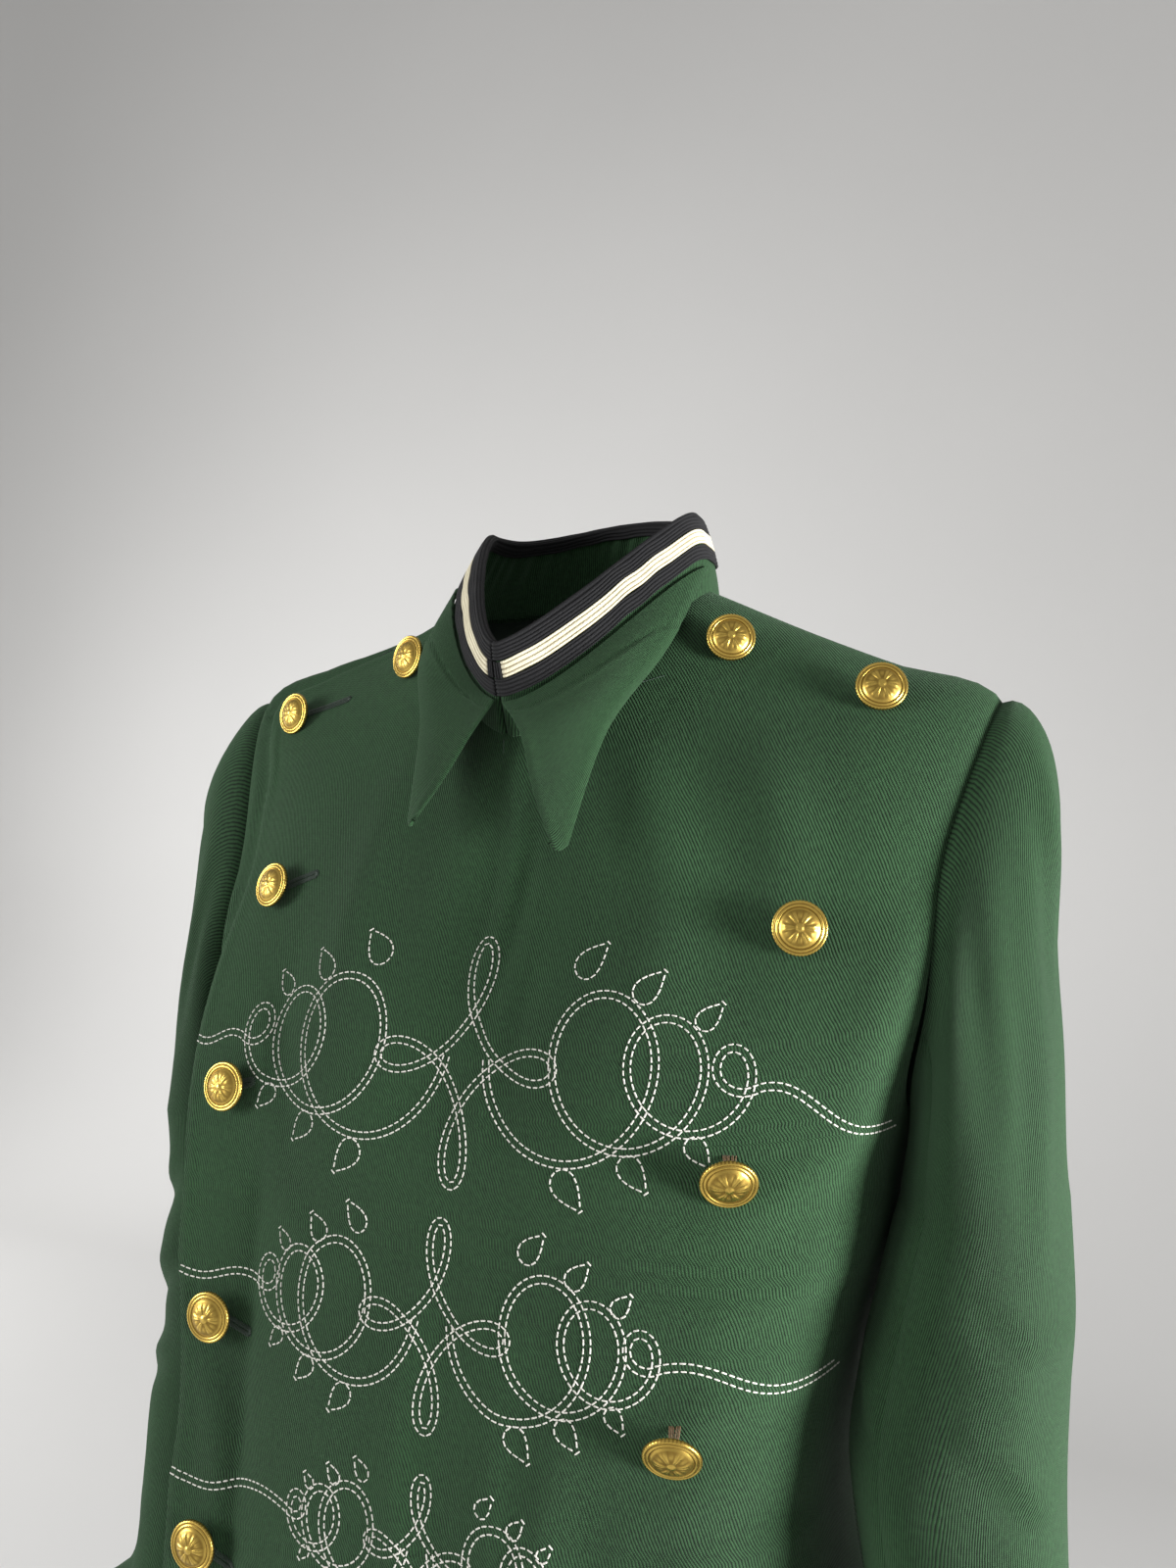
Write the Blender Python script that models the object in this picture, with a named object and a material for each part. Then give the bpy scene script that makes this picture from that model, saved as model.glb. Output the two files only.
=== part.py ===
import math
from collections import namedtuple

import bpy
import numpy as np
from mathutils import Vector
from mathutils.bvhtree import BVHTree

CLOTH = 0.0016
SEAM_GAP = 0.00018
JOIN_GAP = 0.00045
UNDERLAP = 0.0030
COLLAR_WALL = 0.0022
BRAID = 0.0012
BRAID_GAP = 0.0003
BUTTON_RADIUS = 0.0117
BUTTON_GAP = 0.0003
THREAD_REACH = 0.0044

# The body is a family of rings from the hem up to the neckline. Each ring has its own height at the
# side, at the centre front and at the centre back, and its own width, depth and squareness.
Ring = namedtuple("Ring", "side_z front_z back_z half_width side_y front_y back_y front_power back_power")
BODY = [
    Ring(-0.560, -0.564, -0.558, 0.174, 0.006, -0.126, 0.092, 2.9, 2.4),
    Ring(-0.495, -0.495, -0.495, 0.164, 0.005, -0.125, 0.080, 3.1, 2.4),
    Ring(-0.425, -0.425, -0.425, 0.150, 0.004, -0.123, 0.072, 3.4, 2.4),
    Ring(-0.365, -0.365, -0.365, 0.1523, 0.003, -0.119, 0.079, 3.5, 2.4),
    Ring(-0.300, -0.302, -0.300, 0.1658, 0.003, -0.113, 0.092, 3.4, 2.5),
    Ring(-0.245, -0.258, -0.242, 0.180, 0.005, -0.108, 0.102, 3.2, 2.5),
    Ring(-0.190, -0.212, -0.182, 0.202, 0.007, -0.095, 0.104, 2.9, 2.5),
    Ring(-0.130, -0.168, -0.120, 0.209, 0.010, -0.081, 0.100, 2.4, 2.3),
    Ring(-0.061, -0.128, -0.057, 0.213, 0.012, -0.074, 0.092, 1.80, 2.0),
    Ring(-0.041, -0.108, -0.031, 0.165, 0.007, -0.0715, 0.084, 1.65, 2.0),
    Ring(-0.022, -0.093, -0.006, 0.120, 0.002, -0.070, 0.074, 1.55, 2.0),
    Ring(-0.001, -0.080, 0.014, 0.075, -0.002, -0.069, 0.064, 1.7, 2.0),
]
UNDERARM_RING = 5.0
SHOULDER_RING = 8.0
NECK_RING = 11.0
ARMHOLE_STEPS = 12

# The wearer's right shoulder is carried a little higher than the left one.
RAISED_SHOULDER = 0.016

# Where the upper front ends on the wearer's right, as a distance from the centre line.
LAP_EDGE = [(-0.60, -0.142), (-0.451, -0.1445), (-0.397, -0.1475), (-0.360, -0.1495), (-0.329, -0.1525),
            (-0.291, -0.1530), (-0.226, -0.1630), (-0.183, -0.1665), (-0.160, -0.1670), (-0.129, -0.1690),
            (-0.089, -0.1715), (-0.070, -0.1765), (-0.040, -0.1800)]
LAP_TOP_TURN = 20.0
LAP_BREAK = 0.108
UNDER_FRONT_TURN = 62.0

# Broad soft swellings and hollows of the worn cloth. Height is along Y, outwards.
Swell = namedtuple("Swell", "face x z reach_x reach_z slant height")
SWELLS = [
    Swell(1, 0.066, -0.195, 0.048, 0.055, 0.0, 0.009),
    Swell(1, -0.066, -0.195, 0.048, 0.055, 0.0, 0.009),
    Swell(1, 0.000, -0.170, 0.018, 0.060, 0.0, -0.003),
    Swell(1, 0.112, -0.400, 0.014, 0.110, 0.10, 0.0022),
    Swell(1, -0.104, -0.470, 0.016, 0.080, -0.12, 0.0026),
    Swell(1, 0.045, -0.500, 0.020, 0.070, -0.08, 0.0024),
    Swell(-1, 0.080, -0.165, 0.050, 0.060, 0.0, 0.006),
    Swell(-1, -0.082, -0.160, 0.050, 0.060, 0.0, 0.006),
    Swell(-1, 0.000, -0.230, 0.022, 0.120, 0.0, -0.003),
    Swell(-1, 0.058, -0.430, 0.017, 0.070, 0.20, 0.0045),
    Swell(-1, -0.050, -0.445, 0.019, 0.060, -0.16, 0.0040),
    Swell(-1, 0.108, -0.400, 0.020, 0.055, 0.35, 0.0034),
    Swell(-1, -0.112, -0.410, 0.018, 0.060, -0.30, 0.0034),
]

# Sleeve sections from the upper arm to the cuff.
Section = namedtuple("Section", "z x y half_x half_y")
SLEEVE_LEFT = [
    Section(-0.280, 0.2080, 0.002, 0.0330, 0.067),
    Section(-0.322, 0.2034, -0.008, 0.0401, 0.061),
    Section(-0.350, 0.2000, -0.016, 0.0420, 0.059),
    Section(-0.380, 0.1985, -0.024, 0.0425, 0.057),
    Section(-0.412, 0.2020, -0.030, 0.0395, 0.055),
    Section(-0.450, 0.2065, -0.035, 0.0370, 0.053),
    Section(-0.495, 0.2110, -0.041, 0.0355, 0.050),
    Section(-0.545, 0.2155, -0.049, 0.0340, 0.048),
    Section(-0.595, 0.2185, -0.057, 0.0325, 0.045),
    Section(-0.635, 0.2200, -0.064, 0.0320, 0.044),
]
SLEEVE_RIGHT = [
    Section(-0.280, 0.2020, 0.004, 0.0298, 0.067),
    Section(-0.322, 0.1967, 0.003, 0.0322, 0.062),
    Section(-0.360, 0.1965, 0.001, 0.0350, 0.059),
    Section(-0.405, 0.1985, -0.002, 0.0352, 0.057),
    Section(-0.450, 0.2010, -0.006, 0.0342, 0.055),
    Section(-0.490, 0.2022, -0.009, 0.0328, 0.053),
    Section(-0.528, 0.2052, -0.012, 0.0338, 0.052),
    Section(-0.552, 0.2180, -0.016, 0.0440, 0.053),
    Section(-0.590, 0.2230, -0.023, 0.0430, 0.048),
    Section(-0.638, 0.2200, -0.030, 0.0330, 0.044),
]
HEAD_ROWS = 6
FRONT_SEAM_STEP = 8
BACK_SEAM_STEP = 16
SLEEVE_LENGTHS = {
    "left": [("sleeve_head_left", 0), ("sleeve_top_left", 3)],
    "right": [("sleeve_head_right", 0), ("sleeve_top_right", 3), ("sleeve_forearm_right", 7)],
}
LENGTH_GAP = 0.0005

# Folds of the sleeves: turn is the place round the arm, 0 at the outside and 90 at the front.
Fold = namedtuple("Fold", "turn z reach_turn reach_z slant height")
FOLDS_LEFT = [
    Fold(28.0, -0.105, 14.0, 0.060, 0.0, 0.0030),
    Fold(62.0, -0.150, 16.0, 0.060, -120.0, -0.0020),
    Fold(4.0, -0.165, 38.0, 0.042, 0.0, -0.0060),
    Fold(60.0, -0.335, 22.0, 0.016, 260.0, 0.0030),
    Fold(70.0, -0.385, 26.0, 0.014, 300.0, -0.0030),
    Fold(50.0, -0.425, 24.0, 0.017, 240.0, 0.0034),
    Fold(250.0, -0.360, 30.0, 0.016, -260.0, 0.0034),
    Fold(262.0, -0.410, 26.0, 0.015, -240.0, -0.0030),
    Fold(20.0, -0.520, 20.0, 0.040, 120.0, 0.0026),
    Fold(310.0, -0.480, 18.0, 0.050, -90.0, 0.0026),
    Fold(300.0, -0.140, 16.0, 0.050, 90.0, 0.0024),
]
FOLDS_RIGHT = [
    Fold(4.0, -0.085, 60.0, 0.042, 0.0, 0.0075),
    Fold(34.0, -0.110, 13.0, 0.055, 0.0, 0.0028),
    Fold(70.0, -0.170, 15.0, 0.050, -110.0, -0.0020),
    Fold(64.0, -0.350, 24.0, 0.015, 270.0, 0.0032),
    Fold(58.0, -0.400, 24.0, 0.016, 250.0, -0.0030),
    Fold(255.0, -0.375, 28.0, 0.017, -250.0, 0.0034),
    Fold(18.0, -0.555, 60.0, 0.022, 0.0, 0.0050),
    Fold(70.0, -0.590, 40.0, 0.016, 120.0, 0.0036),
    Fold(300.0, -0.150, 16.0, 0.050, 90.0, 0.0024),
]

# The collar's top edge, as one more ring above the neckline.
COLLAR_TOP = Ring(0.037, -0.039, 0.056, 0.0585, -0.009, -0.080, 0.054, 1.45, 2.0)
COLLAR_LEAN = 0.008
COLLAR_TIP_LEAN = -0.0127
COLLAR_FRONT_GAP = 0.0006
COLLAR_OPEN_TURN = 95.5
BRAID_END = 0.0048

Spot = namedtuple("Spot", "name side x z lean")
BUTTONS = [
    Spot("button_shoulder_inner", 1, 0.0925, -0.0330, 22.0),
    Spot("button_shoulder_outer", 1, 0.1630, -0.0590, 22.0),
    Spot("button_chest_1", 1, 0.1400, -0.1660, 14.0),
    Spot("button_chest_2", 1, 0.1205, -0.2620, 33.0),
    Spot("button_chest_3", 1, 0.1045, -0.3640, 35.0),
    Spot("button_chest_4", 1, 0.1030, -0.4560, 14.0),
    Spot("button_shoulder_inner", -1, 0.0820, -0.0330, 22.0),
    Spot("button_shoulder_outer", -1, 0.1600, -0.0600, 22.0),
    Spot("button_chest_1", -1, 0.1350, -0.1570, 6.0),
    Spot("button_chest_2", -1, 0.1310, -0.2530, 6.0),
    Spot("button_chest_3", -1, 0.1270, -0.3570, 4.0),
    Spot("button_chest_4", -1, 0.1240, -0.4560, 4.0),
]

for old in list(bpy.data.objects):
    bpy.data.objects.remove(old, do_unlink=True)

jacket = bpy.data.collections.new("napoleon_jacket")
bpy.context.scene.collection.children.link(jacket)


def make_material(name, colour, metallic, roughness):
    material = bpy.data.materials.new(name)
    material.use_nodes = True
    shader = material.node_tree.nodes["Principled BSDF"]
    shader.inputs["Base Color"].default_value = (colour[0], colour[1], colour[2], 1.0)
    shader.inputs["Metallic"].default_value = metallic
    shader.inputs["Roughness"].default_value = roughness
    return material


wool = make_material("wool", (0.020, 0.062, 0.028), 0.0, 0.85)
black_braid = make_material("black_braid", (0.012, 0.012, 0.014), 0.0, 0.7)
ivory_braid = make_material("ivory_braid", (0.72, 0.66, 0.42), 0.0, 0.6)
brass = make_material("brass", (0.66, 0.46, 0.10), 1.0, 0.3)


def between(rows, place):
    count = len(rows)
    low = min(max(int(math.floor(place)), 0), count - 2)
    t = place - low
    before = np.array(rows[max(low - 1, 0)], float)
    first = np.array(rows[low], float)
    second = np.array(rows[low + 1], float)
    after = np.array(rows[min(low + 2, count - 1)], float)
    bend = 2 * before - 5 * first + 4 * second - after
    twist = 3 * first - before - 3 * second + after
    return 0.5 * (2 * first + (second - before) * t + bend * t * t + twist * t * t * t)


def ring_point(ring, turn):
    ring = Ring(*ring)
    c = math.cos(math.radians(turn))
    s = math.sin(math.radians(turn))
    power = ring.front_power if s >= 0 else ring.back_power
    across = math.copysign(abs(c) ** (2 / power), c)
    deep = abs(s) ** (2 / power)
    if s >= 0:
        y = ring.side_y + (ring.front_y - ring.side_y) * deep
        z = ring.side_z + (ring.front_z - ring.side_z) * s * s
    else:
        y = ring.side_y + (ring.back_y - ring.side_y) * deep
        z = ring.side_z + (ring.back_z - ring.side_z) * s * s
    return np.array([ring.half_width * across, y, z])


def soft_step(value):
    value = min(max(value, 0.0), 1.0)
    return value * value * (3 - 2 * value)


def raised(place, turn):
    side = soft_step(1.0 - abs(turn - 180.0) / 58.0)
    return RAISED_SHOULDER * side * soft_step((place - 6.3) / 2.0) * soft_step((NECK_RING - place) / 2.5)


def body_point(place, turn):
    point = ring_point(between(BODY, place), turn)
    point[2] += raised(place, turn)
    s = math.sin(math.radians(turn))
    face = 1 if s >= 0 else -1
    for swell in SWELLS:
        if swell.face != face:
            continue
        dz = point[2] - swell.z
        dx = point[0] - swell.x - swell.slant * dz
        amount = math.exp(-(dx / swell.reach_x) ** 2 - (dz / swell.reach_z) ** 2)
        point[1] -= face * swell.height * amount * min(1.0, abs(s) * 2)
    return point


def standing(z):
    return soft_step((-0.130 - z) / 0.170)


def lap_point(place, turn):
    point = body_point(place, turn)
    if point[0] > -LAP_BREAK or turn > 185.0:
        return point
    middle = turn
    low = 90.0
    high = turn
    for _ in range(22):
        middle = 0.5 * (low + high)
        if body_point(place, middle)[0] > -LAP_BREAK:
            low = middle
        else:
            high = middle
    bend = body_point(place, middle)
    beyond = -LAP_BREAK - point[0]
    straight = bend[1] - 0.09 * beyond
    point[1] += (straight - point[1]) * standing(point[2])
    return point


def unit(vector):
    return vector / max(np.linalg.norm(vector), 1e-12)


def body_normal(place, turn, point_at=None):
    point_at = point_at or body_point
    along = point_at(place + 0.04, turn) - point_at(place - 0.04, turn)
    around = point_at(place, turn + 1.5) - point_at(place, turn - 1.5)
    normal = unit(np.cross(around, along))
    centre = np.array([0.0, 0.0, -0.1 if place > 8 else body_point(place, turn)[2]])
    if np.dot(normal, body_point(place, turn) - centre) < 0:
        normal = -normal
    return normal


def armhole_turn(place, front):
    share = min(max((place - UNDERARM_RING) / (SHOULDER_RING - UNDERARM_RING), 0.0), 1.0)
    s = math.sqrt(max(0.0, 1 - (2 * share - 1) ** 2))
    return (26.0 if front else 25.0) * s ** 0.9


def armhole_place(step):
    c = math.cos(math.pi * step / ARMHOLE_STEPS)
    return UNDERARM_RING + (SHOULDER_RING - UNDERARM_RING) * (1 + c) / 2


low_places = [0.0, 0.55, 1.15, 1.75, 2.35, 2.95, 3.5, 4.05, 4.55]
arm_places = [armhole_place(step) for step in range(ARMHOLE_STEPS, -1, -1)]
top_places = [8.6, 9.2, 9.8, 10.4, 11.0]
PLACES = low_places + arm_places + top_places


def turn_for_x(place, x, low, high):
    for _ in range(40):
        middle = 0.5 * (low + high)
        if body_point(place, middle)[0] > x:
            low = middle
        else:
            high = middle
    return 0.5 * (low + high)


def lap_x(z):
    heights = [row[0] for row in LAP_EDGE]
    widths = [row[1] for row in LAP_EDGE]
    return float(np.interp(z, heights, widths))


def lap_turn(place):
    turn = 150.0
    for _ in range(6):
        z = body_point(place, turn)[2]
        turn = turn_for_x(place, lap_x(z), 90.0, 179.0)
    top = 180.0 - (LAP_TOP_TURN - 2.2 * max(0.0, place - 8.4))
    if place > SHOULDER_RING:
        turn = top
    return min(turn, top, 180.0 - armhole_turn(place, True) - 4.0 * (place <= SHOULDER_RING))


def row_turns(place, start, end, columns, point_at):
    dense = np.linspace(start, end, 91)
    points = np.array([point_at(place, turn) for turn in dense])
    steps = np.linalg.norm(np.diff(points, axis=0), axis=1)
    length = np.concatenate([[0.0], np.cumsum(steps)])
    return np.interp(np.linspace(0.0, length[-1], columns + 1), length, dense)


def pull_back(grid, near, inner, amount):
    direction = grid[inner] - grid[near]
    return grid[near] + direction / np.linalg.norm(direction, axis=-1, keepdims=True) * amount


def trim_edges(grid, amounts):
    first_row, last_row, first_column, last_column = amounts
    if first_row:
        grid[0] = pull_back(grid, 0, 1, first_row)
    if last_row:
        grid[-1] = pull_back(grid, -1, -2, last_row)
    turned = np.swapaxes(grid, 0, 1)
    if first_column:
        turned[0] = pull_back(turned, 0, 1, first_column)
    if last_column:
        turned[-1] = pull_back(turned, -1, -2, last_column)
    return grid


def add_solid(name, points, faces, material, smooth=True):
    mesh = bpy.data.meshes.new(name)
    mesh.from_pydata([tuple(map(float, point)) for point in points], [], faces)
    mesh.validate()
    mesh.update()
    piece = bpy.data.objects.new(name, mesh)
    jacket.objects.link(piece)
    mesh.materials.append(material)
    for polygon in mesh.polygons:
        polygon.use_smooth = smooth
    return piece


def shell_mesh(outer, inner):
    rows, columns = outer.shape[:2]
    points = list(outer.reshape(-1, 3)) + list(inner.reshape(-1, 3))
    half = rows * columns
    faces = []
    for i in range(rows - 1):
        for j in range(columns - 1):
            a = i * columns + j
            faces.append((a, a + 1, a + columns + 1, a + columns))
            faces.append((half + a, half + a + columns, half + a + columns + 1, half + a + 1))
    edge = [j for j in range(columns - 1)]
    edge += [i * columns + columns - 1 for i in range(rows - 1)]
    edge += [(rows - 1) * columns + j for j in range(columns - 1, 0, -1)]
    edge += [i * columns for i in range(rows - 1, 0, -1)]
    for k in range(len(edge)):
        a = edge[k]
        b = edge[(k + 1) % len(edge)]
        faces.append((b, a, half + a, half + b))
    r = min(rows // 2, rows - 2)
    c = min(columns // 2, columns - 2)
    middle = outer[r, c]
    side = np.cross(outer[r, c + 1] - middle, outer[r + 1, c] - middle)
    if np.dot(side, middle - inner[r, c]) < 0:
        faces = [tuple(reversed(face)) for face in faces]
    return points, faces


def add_shell(name, outer, inner, material):
    points, faces = shell_mesh(outer, inner)
    return add_solid(name, points, faces, material)


# The long bent wall of a sleeve is one cloth. It is laid here as shorter lengths end to end, so that
# its collision can follow the bend.
def add_shell_lengths(lengths, outer, inner, material):
    marks = [first for name, first in lengths] + [len(outer) - 1]
    for k, (name, first) in enumerate(lengths):
        span = slice(marks[k], marks[k + 1] + 1)
        top = 0 if k == 0 else LENGTH_GAP
        end = 0 if k == len(marks) - 2 else LENGTH_GAP
        part_outer = outer[span].copy()
        part_inner = inner[span].copy()
        trim_edges(part_outer, (top, end, 0, 0))
        trim_edges(part_inner, (top, end, 0, 0))
        add_shell(name, part_outer, part_inner, material)


def body_panel(name, first_turn, last_turn, columns, depth, trims, material, point_at=body_point):
    outer = np.zeros((len(PLACES), columns + 1, 3))
    inner = np.zeros((len(PLACES), columns + 1, 3))
    for i, place in enumerate(PLACES):
        turns = row_turns(place, first_turn(place), last_turn(place), columns, point_at)
        for j, turn in enumerate(turns):
            point = point_at(place, turn)
            normal = body_normal(place, turn, point_at)
            sink = depth(place, turn, point)
            outer[i, j] = point - normal * sink
            inner[i, j] = point - normal * (sink + CLOTH)
    trim_edges(outer, trims)
    trim_edges(inner, trims)
    return add_shell(name, outer, inner, material)


def left_edge(place):
    if UNDERARM_RING < place < SHOULDER_RING:
        return armhole_turn(place, True)
    return 0.0


def right_edge(place):
    return 180.0 - left_edge(place)


def back_left_edge(place):
    if UNDERARM_RING < place < SHOULDER_RING:
        return 360.0 - armhole_turn(place, False)
    return 360.0


def back_right_edge(place):
    return 540.0 - back_left_edge(place)


def no_sink(place, turn, point):
    return 0.0


LAP_LINE = np.array([body_point(place, lap_turn(place)) for place in np.linspace(0.0, NECK_RING, 120)])


def under_sink(place, turn, point):
    beyond = np.linalg.norm(LAP_LINE - point, axis=1).min() if turn > lap_turn(place) else 0.0
    depth = UNDERLAP + 0.0014 * soft_step(place - 6.8)
    return depth * (1 - soft_step((beyond - 0.009) / 0.012))


seam = SEAM_GAP
body_panel("front_left", left_edge, lap_turn, 22, no_sink, (0, seam, seam, 0), wool, lap_point)
body_panel("front_right", lambda place: UNDER_FRONT_TURN, right_edge, 13, under_sink, (0, seam, 0, seam), wool)
body_panel("back", back_right_edge, back_left_edge, 18, no_sink, (0, seam, seam, seam), wool)


def section_point(section, turn):
    section = Section(*section)
    c = math.cos(math.radians(turn))
    s = math.sin(math.radians(turn))
    power = 2.3
    across = math.copysign(abs(c) ** (2 / power), c)
    deep = math.copysign(abs(s) ** (2 / power), s)
    return np.array([section.x + section.half_x * across, section.y - section.half_y * deep, section.z])


def armhole_point(turn, mirror):
    turn = turn % 360.0
    front = turn <= 180.0
    place = UNDERARM_RING + (SHOULDER_RING - UNDERARM_RING) * (1 + math.cos(math.radians(turn))) / 2
    body_turn = armhole_turn(place, True) if front else -armhole_turn(place, False)
    if mirror:
        return body_point(place, 180.0 - body_turn) * np.array([-1.0, 1.0, 1.0])
    return body_point(place, body_turn)


def sleeve_point(sections, folds, mirror, along, turn):
    c = math.cos(math.radians(turn))
    s = math.sin(math.radians(turn))
    if along <= 1.0:
        leave = np.array([0.068 + 0.066 * c, -0.045 * s, -0.004 + 0.022 * c])
        start = armhole_point(turn, mirror) + unit(leave) * JOIN_GAP
        end = section_point(sections[0], turn)
        arrive = np.array([0.012 + 0.012 * c, 0.0, -(0.085 + 0.060 * c)])
        t = along
        point = (2 * t ** 3 - 3 * t ** 2 + 1) * start + (t ** 3 - 2 * t ** 2 + t) * leave
        point = point + (3 * t ** 2 - 2 * t ** 3) * end + (t ** 3 - t ** 2) * arrive
        strength = min(1.0, along * 2.5)
    else:
        point = section_point(between(sections, along - 1.0), turn)
        strength = 1.0
    out = np.array([c, -s, 0.0])
    for fold in folds:
        dz = point[2] - fold.z
        dt = (turn - fold.turn - fold.slant * dz + 180.0) % 360.0 - 180.0
        amount = math.exp(-(dt / fold.reach_turn) ** 2 - (dz / fold.reach_z) ** 2)
        point = point + out * fold.height * amount * strength
    return point


def sleeve_grid(sections, folds, mirror, steps):
    rows = [k / HEAD_ROWS for k in range(HEAD_ROWS + 1)]
    last = len(sections) - 1
    rows += [1.0 + k for k in range(1, last + 1)]
    outer = np.zeros((len(rows), len(steps), 3))
    inner = np.zeros((len(rows), len(steps), 3))
    for i, along in enumerate(rows):
        for j, step in enumerate(steps):
            turn = step * 180.0 / ARMHOLE_STEPS
            point = sleeve_point(sections, folds, mirror, along, turn)
            run = sleeve_point(sections, folds, mirror, along + 0.02, turn)
            run = run - sleeve_point(sections, folds, mirror, max(along - 0.02, 0.0), turn)
            around = sleeve_point(sections, folds, mirror, along, turn + 2)
            around = around - sleeve_point(sections, folds, mirror, along, turn - 2)
            normal = unit(np.cross(around, run))
            outer[i, j] = point
            inner[i, j] = point - normal * CLOTH
    return outer, inner


def add_sleeve(side_name, sections, folds, mirror):
    full = 2 * ARMHOLE_STEPS
    top_steps = list(range(BACK_SEAM_STEP - full, FRONT_SEAM_STEP + 1))
    under_steps = list(range(FRONT_SEAM_STEP, BACK_SEAM_STEP + 1))
    for name, steps in (("sleeve_top_" + side_name, top_steps), ("sleeve_under_" + side_name, under_steps)):
        outer, inner = sleeve_grid(sections, folds, mirror, steps)
        row = HEAD_ROWS
        column = len(steps) // 2
        centre = np.array([sections[0].x, sections[0].y, sections[0].z])
        if np.dot(outer[row, column] - inner[row, column], outer[row, column] - centre) < 0:
            inner = 2 * outer - inner
        trim_edges(outer, (0, 0, SEAM_GAP, SEAM_GAP))
        trim_edges(inner, (0, 0, SEAM_GAP, SEAM_GAP))
        if mirror:
            outer[..., 0] *= -1
            inner[..., 0] *= -1
        if name.startswith("sleeve_top"):
            add_shell_lengths(SLEEVE_LENGTHS[side_name], outer, inner, wool)
        else:
            add_shell(name, outer, inner, wool)


add_sleeve("left", SLEEVE_LEFT, FOLDS_LEFT, False)
add_sleeve("right", SLEEVE_RIGHT, FOLDS_RIGHT, True)


def collar_point(height, turn):
    base = ring_point(BODY[-1], turn)
    tip = max(0.0, math.sin(math.radians(turn))) ** 3
    top = ring_point(COLLAR_TOP, turn) + np.array([COLLAR_LEAN + COLLAR_TIP_LEAN * tip, 0.0, 0.0])
    point = base + (top - base) * height
    bow = 0.0015 * 4 * height * (1 - height)
    return point + unit(point * np.array([1.0, 1.0, 0.0])) * bow


def collar_normal(height, turn):
    rise = collar_point(height + 0.05, turn) - collar_point(height - 0.05, turn)
    around = collar_point(height, turn + 2.0) - collar_point(height, turn - 2.0)
    normal = unit(np.cross(around, rise))
    if np.dot(normal[:2], collar_point(height, turn)[:2] - np.array([0.0, -0.005])) < 0:
        normal = -normal
    return normal


def collar_turns(columns):
    slack = math.degrees(COLLAR_FRONT_GAP / 0.075)
    start = COLLAR_OPEN_TURN + slack
    end = COLLAR_OPEN_TURN + 360.0 - slack
    dense = np.linspace(start, end, 181)
    points = np.array([collar_point(0.5, turn) for turn in dense])
    length = np.concatenate([[0.0], np.cumsum(np.linalg.norm(np.diff(points, axis=0), axis=1))])
    marks = np.linspace(BRAID_END, length[-1] - BRAID_END, columns - 1)
    return np.interp(np.concatenate([[0.0], marks, [length[-1]]]), length, dense)


COLLAR_COLUMNS = 38
RISE = 0.041
collar_outer = []
collar_inner = []
for height in (JOIN_GAP / RISE, 0.22, 0.48, 0.74, 1.0):
    turns = collar_turns(COLLAR_COLUMNS)
    collar_outer.append([collar_point(height, turn) for turn in turns])
    collar_inner.append([collar_point(height, turn) - collar_normal(height, turn) * COLLAR_WALL for turn in turns])
add_shell("collar_stand", np.array(collar_outer), np.array(collar_inner), wool)


def add_braid(name, path, material, turns):
    outer = []
    inner = []
    for height, lift, direction in path:
        row_out = []
        row_in = []
        for turn in turns:
            point = collar_point(height, turn)
            normal = collar_normal(height, turn)
            rise = unit(collar_point(1.0, turn) - collar_point(0.6, turn))
            way = normal * direction[0] + rise * direction[1]
            row_in.append(point + normal * lift)
            row_out.append(point + normal * lift + way * BRAID)
        outer.append(row_out)
        inner.append(row_in)
    return add_shell(name, np.array(outer), np.array(inner), material)


outside = BRAID_GAP + 0.0002
inside = -COLLAR_WALL - BRAID_GAP - 0.0002
above = 1.0 + (BRAID_GAP + 0.0001) / RISE
upper_path = [
    (0.815, outside, (1.0, 0.0)),
    (0.92, outside, (1.0, 0.0)),
    (above, outside, (0.8, 0.8)),
    (above, inside, (-0.8, 0.8)),
    (0.86, inside, (-1.0, 0.0)),
]
all_turns = list(collar_turns(COLLAR_COLUMNS))
add_braid("braid_black_upper", upper_path, black_braid, all_turns)
add_braid("braid_ivory", [(0.617, outside, (1.0, 0.0)), (0.803, outside, (1.0, 0.0))], ivory_braid, all_turns[1:-1])
add_braid("braid_black_lower", [(0.415, outside, (1.0, 0.0)), (0.605, outside, (1.0, 0.0))], black_braid, all_turns)


def add_braid_end(name, first, second):
    away = 0.94
    outer = []
    inner = []
    for height in (0.617, 0.71, 0.803):
        turns = [first, first + (second - first) * 0.5 * away, first + (second - first) * away]
        inner.append([collar_point(height, turn) + collar_normal(height, turn) * outside for turn in turns])
        outer.append([collar_point(height, turn) + collar_normal(height, turn) * (outside + BRAID) for turn in turns])
    return add_shell(name, np.array(outer), np.array(inner), black_braid)


add_braid_end("braid_end_right", all_turns[0], all_turns[1])
add_braid_end("braid_end_left", all_turns[-1], all_turns[-2])

# The long pointed flaps hang from the lower part of the stand.
FLAP_FRONT = [(0.0050, -0.0805, -0.0660), (0.0130, -0.0850, -0.0830), (0.0240, -0.0905, -0.1090), (0.0360, -0.0945, -0.1335)]
FLAP_BACK = [(0.0790, -0.0060, 0.0050), (0.0685, -0.0450, -0.0360), (0.0500, -0.0715, -0.0780), (0.0420, -0.0930, -0.1335)]


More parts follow.
